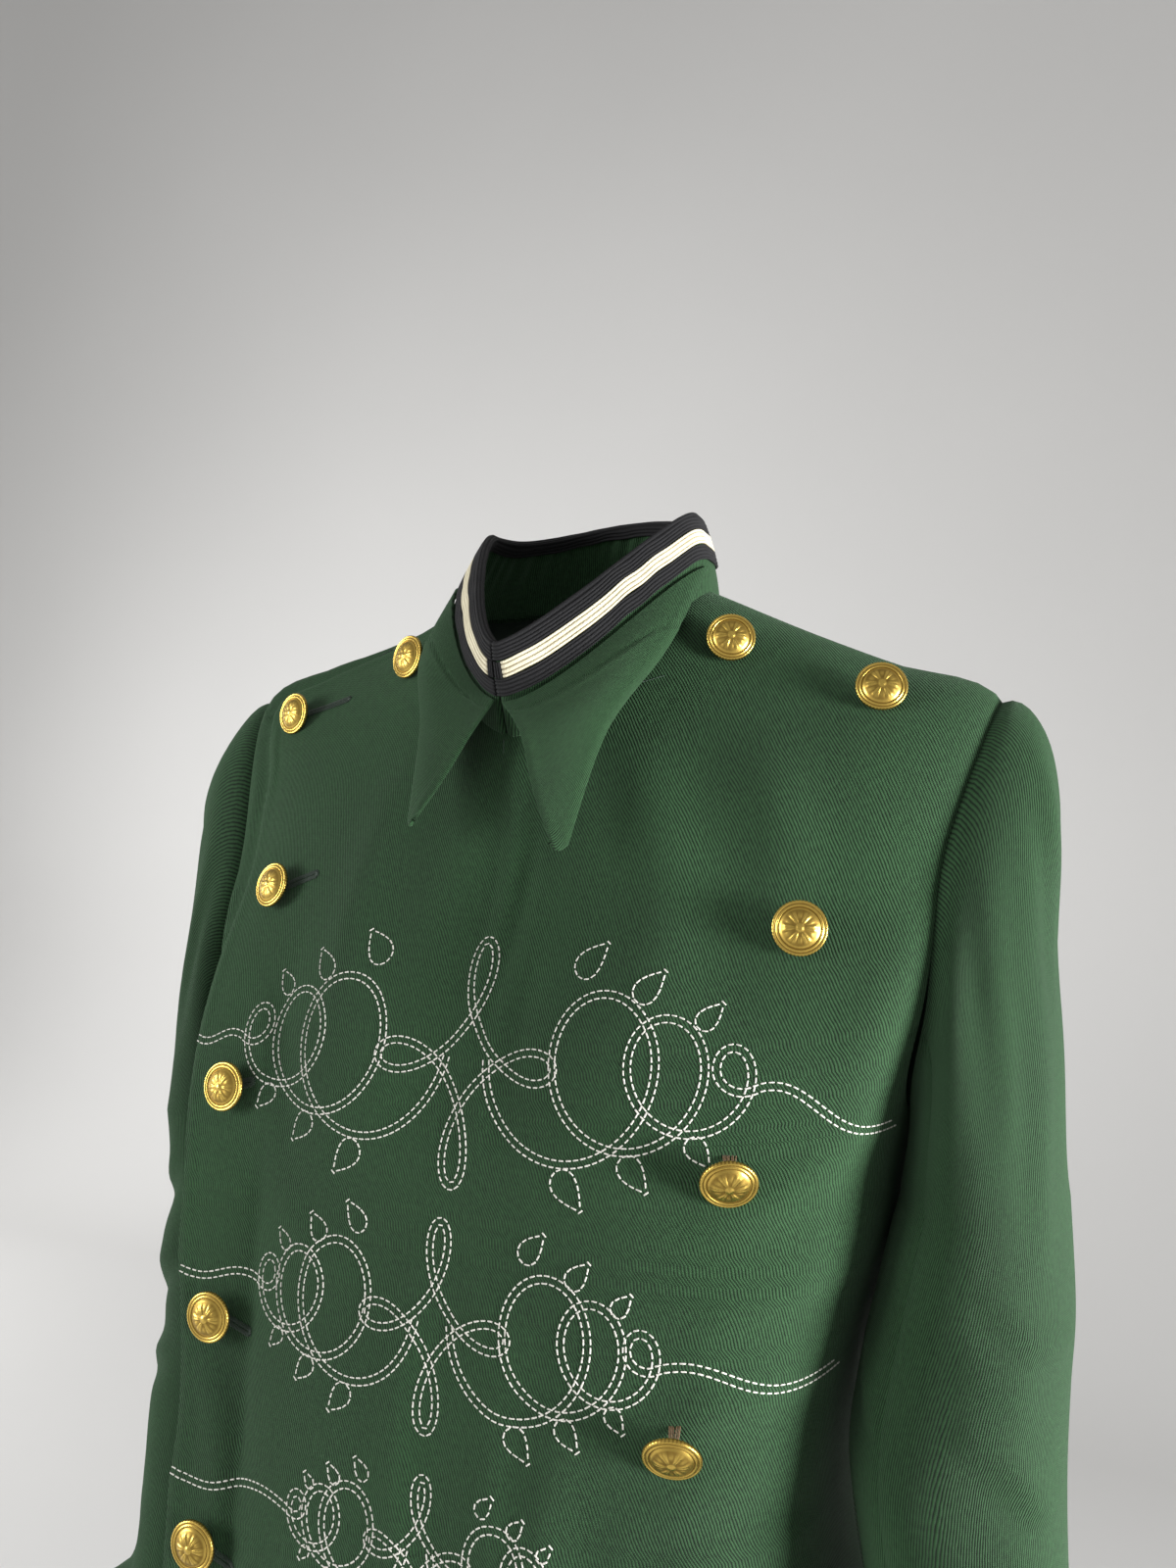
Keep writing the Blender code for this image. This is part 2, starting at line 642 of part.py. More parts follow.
def add_flap(name, sign, curl, short):
    rows = 10
    columns = 8
    outer = np.zeros((rows, columns, 3))
    first = COLLAR_OPEN_TURN - 2.5 if sign > 0 else 180.0 - COLLAR_OPEN_TURN - 2.5
    turns = [first + (7.0 - first) * j / (columns - 1) for j in range(columns)]
    hang = []
    for j, turn in enumerate(turns):
        place = turn if sign > 0 else 180.0 - turn
        point = collar_point(0.335 - 0.02 * j / (columns - 1), place) + collar_normal(0.33, place) * 0.0008
        hang.append(point * np.array([sign, 1.0, 1.0]))
    hang = np.array(hang)
    front_line = [hang[0]] + [np.array(point) for point in FLAP_FRONT[1:]]
    back_line = [hang[-1]] + [np.array(point) for point in FLAP_BACK[1:]]
    wide = np.linalg.norm(hang[-1] - hang[0])
    for i in range(rows):
        s = i / (rows - 1)
        front = between(front_line, s * 3)
        back = between(back_line, s * 3)
        scale = np.linalg.norm(back - front) / wide
        for j in range(columns):
            t = j / (columns - 1)
            bulge = hang[j] - (hang[0] + (hang[-1] - hang[0]) * t)
            point = front + (back - front) * t + bulge * scale * (1 - 0.35 * s)
            round_tip = max(0.0, s - 0.72) / 0.28
            point = point + np.array([0.0, -0.0004, -0.0030]) * math.sin(math.pi * t) * round_tip ** 2
            point = point + np.array([0.0, -1.0, 0.25]) * curl * s * s * (1 - t)
            point = point + np.array([0.0, 0.003, 0.0100]) * short * s * s
            outer[i, j] = point
    normals = np.zeros_like(outer)
    for i in range(rows):
        for j in range(columns):
            down = outer[min(i + 1, rows - 1), j] - outer[max(i - 1, 0), j]
            across = outer[i, min(j + 1, columns - 1)] - outer[i, max(j - 1, 0)]
            normal = unit(np.cross(down, across))
            normals[i, j] = normal if normal[1] < 0 else -normal
    thick = outer + normals * 0.0018
    if sign < 0:
        outer[..., 0] *= -1
        thick[..., 0] *= -1
    return add_shell(name, thick, outer, wool)


add_flap("collar_flap_left", 1, 0.0, 0.0)
add_flap("collar_flap_right", -1, 0.004, 1.0)


def surface_at(x, z, side):
    point_at = lap_point if side < 0 else body_point
    place = 8.5 if z > -0.09 else 5.0
    turn = 120.0 if side < 0 else 60.0
    low = 90.0 if side < 0 else 2.0
    high = 178.0 if side < 0 else 90.0
    for _ in range(50):
        point = point_at(place, turn)
        step = 1e-3
        by_place = (point_at(place + step, turn) - point) / step
        by_turn = (point_at(place, turn + 0.05) - point) / 0.05
        matrix = np.array([[by_place[0], by_turn[0]], [by_place[2], by_turn[2]]])
        change = np.linalg.solve(matrix, np.array([side * x - point[0], z - point[2]]))
        place = min(max(place + float(np.clip(change[0], -0.4, 0.4)), 0.0), NECK_RING)
        turn = min(max(turn + float(np.clip(change[1], -6.0, 6.0)), low), high)
    return point_at(place, turn), body_normal(place, turn, point_at)


def turned_solid(profile, steps):
    points = [(0.0, 0.0, profile[0][1])]
    faces = []
    rings = profile[1:-1]
    for radius, height in rings:
        for k in range(steps):
            angle = 2 * math.pi * k / steps
            points.append((radius * math.cos(angle), radius * math.sin(angle), height))
    points.append((0.0, 0.0, profile[-1][1]))
    last = len(points) - 1
    for k in range(steps):
        nxt = (k + 1) % steps
        faces.append((0, 1 + nxt, 1 + k))
        for r in range(len(rings) - 1):
            a = 1 + r * steps
            faces.append((a + k, a + nxt, a + steps + nxt, a + steps + k))
        a = 1 + (len(rings) - 1) * steps
        faces.append((a + k, a + nxt, last))
    return points, faces


BUTTON_PROFILE = [
    (0.0, 0.0), (0.0022, 0.0), (0.0022, 0.0036), (BUTTON_RADIUS, 0.0054),
    (BUTTON_RADIUS, 0.0068), (0.0096, 0.0074), (0.0055, 0.0091), (0.0, 0.0097),
]


front = bpy.data.objects["front_left"].data
front_tree = BVHTree.FromPolygons([v.co for v in front.vertices], [tuple(f.vertices) for f in front.polygons])


def add_button(spot):
    point, normal = surface_at(spot.x, spot.z, spot.side)
    seat, face_normal, index, distance = front_tree.find_nearest(Vector(point))
    if np.dot(np.array(face_normal), normal) > 0:
        normal = np.array(face_normal)
    foot = np.array(seat) + normal * BUTTON_GAP
    points, faces = turned_solid(BUTTON_PROFILE, 12)
    lean = math.radians(spot.lean)
    down = unit(np.array([0.0, 0.0, -1.0]) + normal * normal[2])
    axis = unit(normal * math.cos(lean) + down * math.sin(lean))
    side = unit(np.cross(np.array([0.0, 0.0, 1.0]), axis))
    up = np.cross(axis, side)
    flat_up = np.cross(normal, side)
    slack = normal * max(0.0, BUTTON_RADIUS * math.sin(lean) - THREAD_REACH)
    placed = []
    for p in points:
        if p[2] < 0.001:
            placed.append(foot + side * p[0] + flat_up * p[1])
        else:
            placed.append(foot + slack + side * p[0] + up * p[1] + axis * p[2])
    name = spot.name + ("_left" if spot.side > 0 else "_right")
    return add_solid(name, placed, faces, brass)


for spot in BUTTONS:
    add_button(spot)
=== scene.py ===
import math

import bpy
import numpy as np
from mathutils import Matrix, Vector
from mathutils.bvhtree import BVHTree


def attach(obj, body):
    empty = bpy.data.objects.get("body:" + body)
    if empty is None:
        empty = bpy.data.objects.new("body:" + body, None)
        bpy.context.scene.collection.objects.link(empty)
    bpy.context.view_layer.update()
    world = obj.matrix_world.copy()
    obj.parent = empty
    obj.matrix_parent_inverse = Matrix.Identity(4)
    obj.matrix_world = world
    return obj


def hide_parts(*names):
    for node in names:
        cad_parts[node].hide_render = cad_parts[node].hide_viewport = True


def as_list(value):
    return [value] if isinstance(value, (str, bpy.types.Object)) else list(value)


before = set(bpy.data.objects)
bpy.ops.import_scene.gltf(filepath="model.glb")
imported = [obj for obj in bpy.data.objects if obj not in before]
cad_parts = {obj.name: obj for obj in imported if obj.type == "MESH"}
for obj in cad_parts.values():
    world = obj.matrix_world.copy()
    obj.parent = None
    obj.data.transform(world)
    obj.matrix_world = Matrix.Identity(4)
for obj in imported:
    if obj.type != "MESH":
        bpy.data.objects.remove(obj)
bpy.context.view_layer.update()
scene = bpy.context.scene
print("napoleon jacket: frame loaded")

# View, light and floor: what a user would change for another shot.
studio = {
    "place": (0.2713, -0.55595, -0.14792),
    "right": (0.90386, 0.42679, 0.02984),
    "up": (0.00762, -0.0858, 0.99628),
    "forward": (-0.42776, 0.90027, 0.0808),
    "lens": 27.0,
    "sensor": 36.0,
    "floorHeight": -0.98,
    "wallDistance": 2.3,
    "room": (0.86, 0.855, 0.845),
    "roomStrength": 0.47,
}

cameraData = bpy.data.cameras.new("camera")
cameraData.lens = studio["lens"]
cameraData.sensor_width = studio["sensor"]
cameraData.clip_start = 0.01
camera = bpy.data.objects.new("camera", cameraData)
scene.collection.objects.link(camera)
axes = [Vector(studio["right"]), Vector(studio["up"]), -Vector(studio["forward"])]
turned = Matrix((axes[0], axes[1], axes[2])).transposed().to_4x4()
camera.matrix_world = Matrix.Translation(studio["place"]) @ turned
scene.camera = camera

# Each softbox: name, place, the point it faces, size, power, spread in degrees.
softboxes = [
    ("keyLight", (3.0, -0.22, -0.58), (0.05, -0.05, -0.32), 1.1, 48.0, 75.0),
    ("fillLight", (-2.3, -1.8, 0.1), (0.0, 0.0, -0.3), 1.4, 46.0, 150.0),
    ("wallLight", (-2.4, 0.5, -0.1), (-1.3, 2.3, -0.5), 1.2, 12.0, 180.0),
    ("wallLightRight", (1.9, 0.7, -0.9), (0.9, 2.3, -0.8), 1.2, 11.0, 180.0),
]
for name, place, facing, size, power, spread in softboxes:
    lamp = bpy.data.lights.new(name, "AREA")
    lamp.energy, lamp.size, lamp.spread = power, size, math.radians(spread)
    lampObject = bpy.data.objects.new(name, lamp)
    lampObject.location = place
    lampObject.rotation_euler = (Vector(facing) - Vector(place)).to_track_quat("-Z", "Y").to_euler()
    scene.collection.objects.link(lampObject)

world = bpy.data.worlds.new("room")
world.use_nodes = True
background = world.node_tree.nodes["Background"].inputs
background["Color"].default_value = (*studio["room"], 1.0)
background["Strength"].default_value = studio["roomStrength"]
scene.world = world
scene.view_settings.view_transform = "Standard"


def catmull(rows, place):
    rows = np.asarray(rows, float)
    place = np.asarray(place, float)
    low = np.clip(np.floor(place).astype(int), 0, len(rows) - 2)
    t = (place - low)[..., None]
    before = rows[np.maximum(low - 1, 0)]
    first = rows[low]
    second = rows[low + 1]
    after = rows[np.minimum(low + 2, len(rows) - 1)]
    bend = 2 * before - 5 * first + 4 * second - after
    twist = 3 * first - before - 3 * second + after
    return 0.5 * (2 * first + (second - before) * t + bend * t * t + twist * t ** 3)


def unit(vectors):
    return vectors / np.maximum(np.linalg.norm(vectors, axis=-1, keepdims=True), 1e-12)


def smooth(value):
    value = np.clip(value, 0.0, 1.0)
    return value * value * (3 - 2 * value)


def bell(distance, reach, power=2):
    return np.exp(-(distance / reach) ** power)


def mound(across, reachAcross, up, reachUp):
    return np.exp(-(across / reachAcross) ** 2 - (up / reachUp) ** 2)


def together(first, second):
    return np.broadcast_arrays(np.asarray(first, float), np.asarray(second, float))


def cosSin(turn):
    return np.cos(np.radians(turn)), np.sin(np.radians(turn))


def lengthsAlong(points):
    # Length from the first point to each, along a line or along every row of a grid.
    steps = np.linalg.norm(np.diff(points, axis=-2), axis=-1)
    return np.concatenate([np.zeros(steps.shape[:-1] + (1,)), np.cumsum(steps, axis=-1)], -1)


def newPiece(name, points, faces, materials=(), edges=()):
    mesh = bpy.data.meshes.new(name)
    mesh.from_pydata(points, edges, faces)
    if len(faces):
        mesh.polygons.foreach_set("use_smooth", np.ones(len(faces), bool))
    for material in materials:
        mesh.materials.append(material)
    piece = bpy.data.objects.new(name, mesh)
    scene.collection.objects.link(piece)
    return piece


# The worn form, with the same values as the solids.
# Each body ring: side z, front z, back z, half width, side y, front y, back y, front power, back power.
bodyRings = np.array([
    (-0.560, -0.564, -0.558, 0.174, 0.006, -0.126, 0.092, 2.9, 2.4),
    (-0.495, -0.495, -0.495, 0.164, 0.005, -0.125, 0.080, 3.1, 2.4),
    (-0.425, -0.425, -0.425, 0.150, 0.004, -0.123, 0.072, 3.4, 2.4),
    (-0.365, -0.365, -0.365, 0.1523, 0.003, -0.119, 0.079, 3.5, 2.4),
    (-0.300, -0.302, -0.300, 0.1658, 0.003, -0.113, 0.092, 3.4, 2.5),
    (-0.245, -0.258, -0.242, 0.180, 0.005, -0.108, 0.102, 3.2, 2.5),
    (-0.190, -0.212, -0.182, 0.202, 0.007, -0.095, 0.104, 2.9, 2.5),
    (-0.130, -0.168, -0.120, 0.209, 0.010, -0.081, 0.100, 2.4, 2.3),
    (-0.061, -0.128, -0.057, 0.213, 0.012, -0.074, 0.092, 1.80, 2.0),
    (-0.041, -0.108, -0.031, 0.165, 0.007, -0.0715, 0.084, 1.65, 2.0),
    (-0.022, -0.093, -0.006, 0.120, 0.002, -0.070, 0.074, 1.55, 2.0),
    (-0.001, -0.080, 0.014, 0.075, -0.002, -0.069, 0.064, 1.7, 2.0),
])
# Each swell: face, x, z, reach in x, reach in z, slant, height.
bodySwells = [
    (1, 0.066, -0.195, 0.048, 0.055, 0.0, 0.009),
    (1, -0.066, -0.195, 0.048, 0.055, 0.0, 0.009),
    (1, 0.000, -0.170, 0.018, 0.060, 0.0, -0.003),
    (1, 0.112, -0.400, 0.014, 0.110, 0.10, 0.0022),
    (1, -0.104, -0.470, 0.016, 0.080, -0.12, 0.0026),
    (1, 0.045, -0.500, 0.020, 0.070, -0.08, 0.0024),
    (-1, 0.080, -0.165, 0.050, 0.060, 0.0, 0.006),
    (-1, -0.082, -0.160, 0.050, 0.060, 0.0, 0.006),
    (-1, 0.000, -0.230, 0.022, 0.120, 0.0, -0.003),
    (-1, 0.058, -0.430, 0.017, 0.070, 0.20, 0.0045),
    (-1, -0.050, -0.445, 0.019, 0.060, -0.16, 0.0040),
    (-1, 0.108, -0.400, 0.020, 0.055, 0.35, 0.0034),
    (-1, -0.112, -0.410, 0.018, 0.060, -0.30, 0.0034),
]
lapEdge = np.array([
    (-0.60, -0.142), (-0.451, -0.1445), (-0.397, -0.1475), (-0.360, -0.1495), (-0.329, -0.1525),
    (-0.291, -0.1530), (-0.226, -0.1630), (-0.183, -0.1665), (-0.160, -0.1670), (-0.129, -0.1690),
    (-0.089, -0.1715), (-0.070, -0.1765), (-0.040, -0.1800),
])
# Each sleeve section: z, x, y, half width, half depth.
sleeveLeft = np.array([
    (-0.280, 0.2080, 0.002, 0.0330, 0.067),
    (-0.322, 0.2034, -0.008, 0.0401, 0.061),
    (-0.350, 0.2000, -0.016, 0.0420, 0.059),
    (-0.380, 0.1985, -0.024, 0.0425, 0.057),
    (-0.412, 0.2020, -0.030, 0.0395, 0.055),
    (-0.450, 0.2065, -0.035, 0.0370, 0.053),
    (-0.495, 0.2110, -0.041, 0.0355, 0.050),
    (-0.545, 0.2155, -0.049, 0.0340, 0.048),
    (-0.595, 0.2185, -0.057, 0.0325, 0.045),
    (-0.635, 0.2200, -0.064, 0.0320, 0.044),
])
sleeveRight = np.array([
    (-0.280, 0.2020, 0.004, 0.0298, 0.067),
    (-0.322, 0.1967, 0.003, 0.0322, 0.062),
    (-0.360, 0.1965, 0.001, 0.0350, 0.059),
    (-0.405, 0.1985, -0.002, 0.0352, 0.057),
    (-0.450, 0.2010, -0.006, 0.0342, 0.055),
    (-0.490, 0.2022, -0.009, 0.0328, 0.053),
    (-0.528, 0.2052, -0.012, 0.0338, 0.052),
    (-0.552, 0.2180, -0.016, 0.0440, 0.053),
    (-0.590, 0.2230, -0.023, 0.0430, 0.048),
    (-0.638, 0.2200, -0.030, 0.0330, 0.044),
])
# Each sleeve fold: turn, z, reach in turn, reach in z, slant, height.
foldsLeft = [
    (28.0, -0.105, 14.0, 0.060, 0.0, 0.0030),
    (62.0, -0.150, 16.0, 0.060, -120.0, -0.0020),
    (4.0, -0.165, 38.0, 0.042, 0.0, -0.0060),
    (60.0, -0.335, 22.0, 0.016, 260.0, 0.0030),
    (70.0, -0.385, 26.0, 0.014, 300.0, -0.0030),
    (50.0, -0.425, 24.0, 0.017, 240.0, 0.0034),
    (250.0, -0.360, 30.0, 0.016, -260.0, 0.0034),
    (262.0, -0.410, 26.0, 0.015, -240.0, -0.0030),
    (20.0, -0.520, 20.0, 0.040, 120.0, 0.0026),
    (310.0, -0.480, 18.0, 0.050, -90.0, 0.0026),
    (300.0, -0.140, 16.0, 0.050, 90.0, 0.0024),
]
foldsRight = [
    (4.0, -0.085, 60.0, 0.042, 0.0, 0.0075),
    (34.0, -0.110, 13.0, 0.055, 0.0, 0.0028),
    (70.0, -0.170, 15.0, 0.050, -110.0, -0.0020),
    (64.0, -0.350, 24.0, 0.015, 270.0, 0.0032),
    (58.0, -0.400, 24.0, 0.016, 250.0, -0.0030),
    (255.0, -0.375, 28.0, 0.017, -250.0, 0.0034),
    (18.0, -0.555, 60.0, 0.022, 0.0, 0.0050),
    (70.0, -0.590, 40.0, 0.016, 120.0, 0.0036),
    (300.0, -0.150, 16.0, 0.050, 90.0, 0.0024),
]
form = {
    "underarm": 5.0,
    "shoulder": 8.0,
    "neck": 11.0,
    "lapBreak": 0.108,
    "lapLean": 0.09,
    "lapTopTurn": 20.0,
    "underFrontTurn": 62.0,
    "underlap": 0.0030,
    "cloth": 0.0016,
    "raisedShoulder": 0.016,
    "raisedFrom": 6.3,
    "raisedReach": 58.0,
    "armholeFront": 26.0,
    "armholeBack": 25.0,
    "seamOverlap": 0.0008,
    "sleevePower": 2.3,
    "frontSeam": 120.0,
    "backSeam": 240.0,
}


def ringPoint(ring, turn):
    c, s = cosSin(turn)
    front = s >= 0
    power = np.where(front, ring[..., 7], ring[..., 8])
    across = np.sign(c) * np.abs(c) ** (2 / power)
    deep = np.abs(s) ** (2 / power)
    farY = np.where(front, ring[..., 5], ring[..., 6])
    farZ = np.where(front, ring[..., 1], ring[..., 2])
    y = ring[..., 4] + (farY - ring[..., 4]) * deep
    z = ring[..., 0] + (farZ - ring[..., 0]) * s * s
    return np.stack([ring[..., 3] * across, y, z], -1)


def bodyPoint(place, turn):
    place, turn = together(place, turn)
    point = ringPoint(catmull(bodyRings, place), turn)
    side = smooth(1.0 - np.abs(turn - 180.0) / form["raisedReach"])
    rise = form["raisedShoulder"] * side * smooth((place - form["raisedFrom"]) / 2.0)
    point[..., 2] += rise * smooth((form["neck"] - place) / 2.5)
    s = np.sin(np.radians(turn))
    face = np.where(s >= 0, 1, -1)
    for onFace, x, z, reachX, reachZ, slant, height in bodySwells:
        dz = point[..., 2] - z
        dx = point[..., 0] - x - slant * dz
        swell = face * height * mound(dx, reachX, dz, reachZ) * np.minimum(1.0, np.abs(s) * 2)
        point[..., 1] -= np.where(face == onFace, swell, 0.0)
    return point


def turnAt(place, low, high, x, rounds):
    # The turn where a row of the body reaches x, found by halving.
    for _ in range(rounds):
        turn = 0.5 * (low + high)
        before = bodyPoint(place, turn)[..., 0] > x
        low, high = np.where(before, turn, low), np.where(before, high, turn)
    return turn


def lapPoint(place, turn):
    place, turn = together(place, turn)
    point = bodyPoint(place, turn)
    far = (point[..., 0] <= -form["lapBreak"]) & (turn <= 185.0)
    if not far.any():
        return point
    rows = place[far]
    bend = bodyPoint(rows, turnAt(rows, 90.0, turn[far], -form["lapBreak"], 22))
    beyond = -form["lapBreak"] - point[..., 0][far]
    straight = bend[..., 1] - form["lapLean"] * beyond
    y = point[..., 1][far]
    share = smooth((-0.130 - point[..., 2][far]) / 0.170)
    point[..., 1][far] = y + (straight - y) * share
    return point


def surfaceNormal(pointAt, place, turn):
    along = pointAt(place + 0.04, turn) - pointAt(place - 0.04, turn)
    around = pointAt(place, turn + 1.5) - pointAt(place, turn - 1.5)
    return unit(np.cross(along, around))


def armholeTurn(place, front):
    span = form["shoulder"] - form["underarm"]
    share = np.clip((np.asarray(place, float) - form["underarm"]) / span, 0.0, 1.0)
    s = np.sqrt(np.maximum(0.0, 1 - (2 * share - 1) ** 2))
    return np.where(front, form["armholeFront"], form["armholeBack"]) * s ** 0.9


def lapTurn(place):
    place = np.asarray(place, float)
    turn = np.full(place.shape, 150.0)
    for _ in range(6):
        wanted = np.interp(bodyPoint(place, turn)[..., 2], lapEdge[:, 0], lapEdge[:, 1])
        turn = turnAt(place, 90.0, 179.0, wanted, 36)
    top = 180.0 - (form["lapTopTurn"] - 2.2 * np.maximum(0.0, place - 8.4))
    turn = np.where(place > form["shoulder"], top, turn)
    clear = 180.0 - armholeTurn(place, True) - 4.0 * (place <= form["shoulder"])
    return np.minimum(np.minimum(turn, top), clear)


def armholePoint(turn, mirror):
    turn = np.asarray(turn, float) % 360.0
    front = turn <= 180.0
    span = form["shoulder"] - form["underarm"]
    place = form["underarm"] + span * (1 + np.cos(np.radians(turn))) / 2
    bodyTurn = np.where(front, armholeTurn(place, True), -armholeTurn(place, False))
    if mirror:
        return bodyPoint(place, 180.0 - bodyTurn) * mirrored
    return bodyPoint(place, bodyTurn)


def sectionPoint(section, turn):
    c, s = cosSin(turn)
    across = np.sign(c) * np.abs(c) ** (2 / form["sleevePower"])
    deep = np.sign(s) * np.abs(s) ** (2 / form["sleevePower"])
    x = section[..., 1] + section[..., 3] * across
    y = section[..., 2] - section[..., 4] * deep
    return np.stack([x, y, section[..., 0] + 0 * c], -1)


def sleevePoint(sections, folds, mirror, along, turn):
    along, turn = together(along, turn)
    c, s = cosSin(turn)
    leave = np.stack([0.068 + 0.066 * c, -0.045 * s, -0.004 + 0.022 * c], -1)
    start = armholePoint(turn, mirror) - unit(leave) * form["seamOverlap"]
    end = sectionPoint(np.broadcast_to(sections[0], turn.shape + (5,)), turn)
    arrive = np.stack([0.012 + 0.012 * c, 0 * c, -(0.085 + 0.060 * c)], -1)
    t = np.minimum(along, 1.0)[..., None]
    head = (2 * t ** 3 - 3 * t ** 2 + 1) * start + (t ** 3 - 2 * t ** 2 + t) * leave
    head = head + (3 * t ** 2 - 2 * t ** 3) * end + (t ** 3 - t ** 2) * arrive
    lower = sectionPoint(catmull(sections, np.maximum(along - 1.0, 0.0)), turn)
    point = np.where((along <= 1.0)[..., None], head, lower)
    strength = np.where(along <= 1.0, np.minimum(1.0, along * 2.5), 1.0)
    out = np.stack([c, -s, 0 * c], -1)
    for foldTurn, z, reachTurn, reachZ, slant, height in folds:
        dz = point[..., 2] - z
        dt = (turn - foldTurn - slant * dz + 180.0) % 360.0 - 180.0
        point = point + out * (height * mound(dt, reachTurn, dz, reachZ) * strength)[..., None]
    return point


# Creases: soft ridges and troughs laid along short lines.
def creaseHeight(creases, across, up):
    total = np.zeros(across.shape)
    for line, width, height, partner in creases:
        knots = catmull(np.array(line), np.linspace(0, len(line) - 1, 6 * (len(line) - 1) + 1))
        steps = np.linalg.norm(np.diff(knots, axis=0), axis=1)
        run = np.concatenate([[0.0], np.cumsum(steps)])
        best = np.full(across.shape, 1e9)
        side = np.ones(across.shape)
        share = np.zeros(across.shape)
        for k in range(len(steps)):
            ax, az = knots[k]
            bx, bz = knots[k + 1] - knots[k]
            t = np.clip(((across - ax) * bx + (up - az) * bz) / steps[k] ** 2, 0.0, 1.0)
            dx = across - ax - bx * t
            dz = up - az - bz * t
            away = dx * dx + dz * dz
            closer = away < best
            best = np.where(closer, away, best)
            side = np.where(closer, np.sign(bx * dz - bz * dx), side)
            share = np.where(closer, (run[k] + t * steps[k]) / run[-1], share)
        d = np.sqrt(best) * side
        taper = np.sin(np.pi * np.clip(share, 0.0, 1.0)) ** 0.8
        shape = bell(d, width) - partner * bell(d - 1.75 * width, 1.2 * width)
        total += height * taper * shape
    return total


def gridNormal(grid):
    return unit(np.cross(np.gradient(grid, axis=0), np.gradient(grid, axis=1)))


mirrored = np.array([-1.0, 1.0, 1.0])
rimSteps = np.array([0.0, 0.10, 0.34, 0.80]) / 1000  # close steps beside an edge, where the cloth turns
gridSides = {"first": np.s_[0], "last": np.s_[-1], "start": np.s_[:, 0], "end": np.s_[:, -1]}
shell = {
    "seamDip": 0.0007,
    "seamReach": 0.0018,
    "seamFlange": 0.0016,
    "edgeRound": 0.44,
}


def rimmedMarks(length, count):
    marks = np.linspace(rimSteps[-1], length - rimSteps[-1], count)
    return np.concatenate([rimSteps[:-1], marks, length - rimSteps[:-1][::-1]])


def arcSplit(curve, values, pitch):
    # Splits each row of a dense grid by length, into as many steps as the longest needs.
    run = lengthsAlong(curve)
    count = int(run[:, -1].max() / pitch)
    return np.array([np.interp(rimmedMarks(row[-1], count), row, value) for row, value in zip(run, values)])


def edgeDistance(grid, sides):
    flat = grid.reshape(-1, 3)
    best = np.full(len(flat), 1e9)
    for side in sides:
        for point in grid[gridSides[side]]:
            best = np.minimum(best, ((flat - point) ** 2).sum(1))
    return np.sqrt(best).reshape(grid.shape[:2])


def clothMesh(name, outer, inner, weave, materials):
    rows, columns = outer.shape[:2]
    half = rows * columns
    index = np.arange(half).reshape(rows, columns)
    quads = np.stack([index[:-1, :-1], index[:-1, 1:], index[1:, 1:], index[1:, :-1]], -1).reshape(-1, 4)
    loop = np.concatenate([index[0, :-1], index[:-1, -1], index[-1, :0:-1], index[:0:-1, 0]])
    after = np.roll(loop, -1)
    rim = np.stack([after, loop, loop + half, after + half], 1)
    faces = np.concatenate([quads, quads[:, ::-1] + half, rim])
    r, c = rows // 2, columns // 2
    face = np.cross(outer[r, c + 1] - outer[r, c], outer[r + 1, c] - outer[r, c])
    if np.dot(face, outer[r, c] - inner[r, c]) < 0:
        faces = faces[:, ::-1]
    points = np.concatenate([outer.reshape(-1, 3), inner.reshape(-1, 3)])
    piece = newPiece(name, points.tolist(), faces.tolist(), materials)
    mesh = piece.data
    marks = np.zeros(len(faces), np.int32)
    marks[len(quads):2 * len(quads)] = len(materials) - 1
    mesh.polygons.foreach_set("material_index", marks)
    both = np.concatenate([weave.reshape(-1, 2)] * 2)
    corner = np.zeros(len(mesh.loops), np.int32)
    mesh.loops.foreach_get("vertex_index", corner)
    layer = mesh.uv_layers.new(name="weave")
    layer.data.foreach_set("uv", both[corner].astype(np.float32).ravel())
    mesh.update()
    return piece


def clothArea(piece):
    return sum(polygon.area for polygon in piece.data.polygons) / 2


def turnedShare(distance):
    return 1 - np.sqrt(np.maximum(0.0, 1 - (1 - np.clip(distance / rimSteps[-1], 0, 1)) ** 2))


def shellFrom(name, grid, weave, lift, material, seams):
    # A thin cloth wall on a fine grid: lift pushes it out, sewn edges are drawn in, free ones rounded.
    normal = gridNormal(grid)
    toward = (normal * (grid - grid.reshape(-1, 3).mean(0))).sum(-1)
    if np.median(toward) < 0:
        normal = -normal
    outer = grid + normal * lift[..., None]
    dip = shell["seamDip"] * bell(edgeDistance(grid, seams), shell["seamReach"], 1.5)
    outer = outer - normal * dip[..., None]
    fine = gridNormal(outer)
    fine = np.where((fine * normal).sum(-1, keepdims=True) < 0, -fine, fine)
    inner = outer - fine * form["cloth"]
    free = [side for side in gridSides if side not in seams]
    pinch = (shell["edgeRound"] * form["cloth"] * turnedShare(edgeDistance(grid, free)))[..., None]
    outer = outer - fine * pinch
    inner = inner + fine * pinch
    for side in seams:
        inner[gridSides[side]] -= fine[gridSides[side]] * shell["seamFlange"]
    return clothMesh(name, outer, inner, weave, [material, lining])


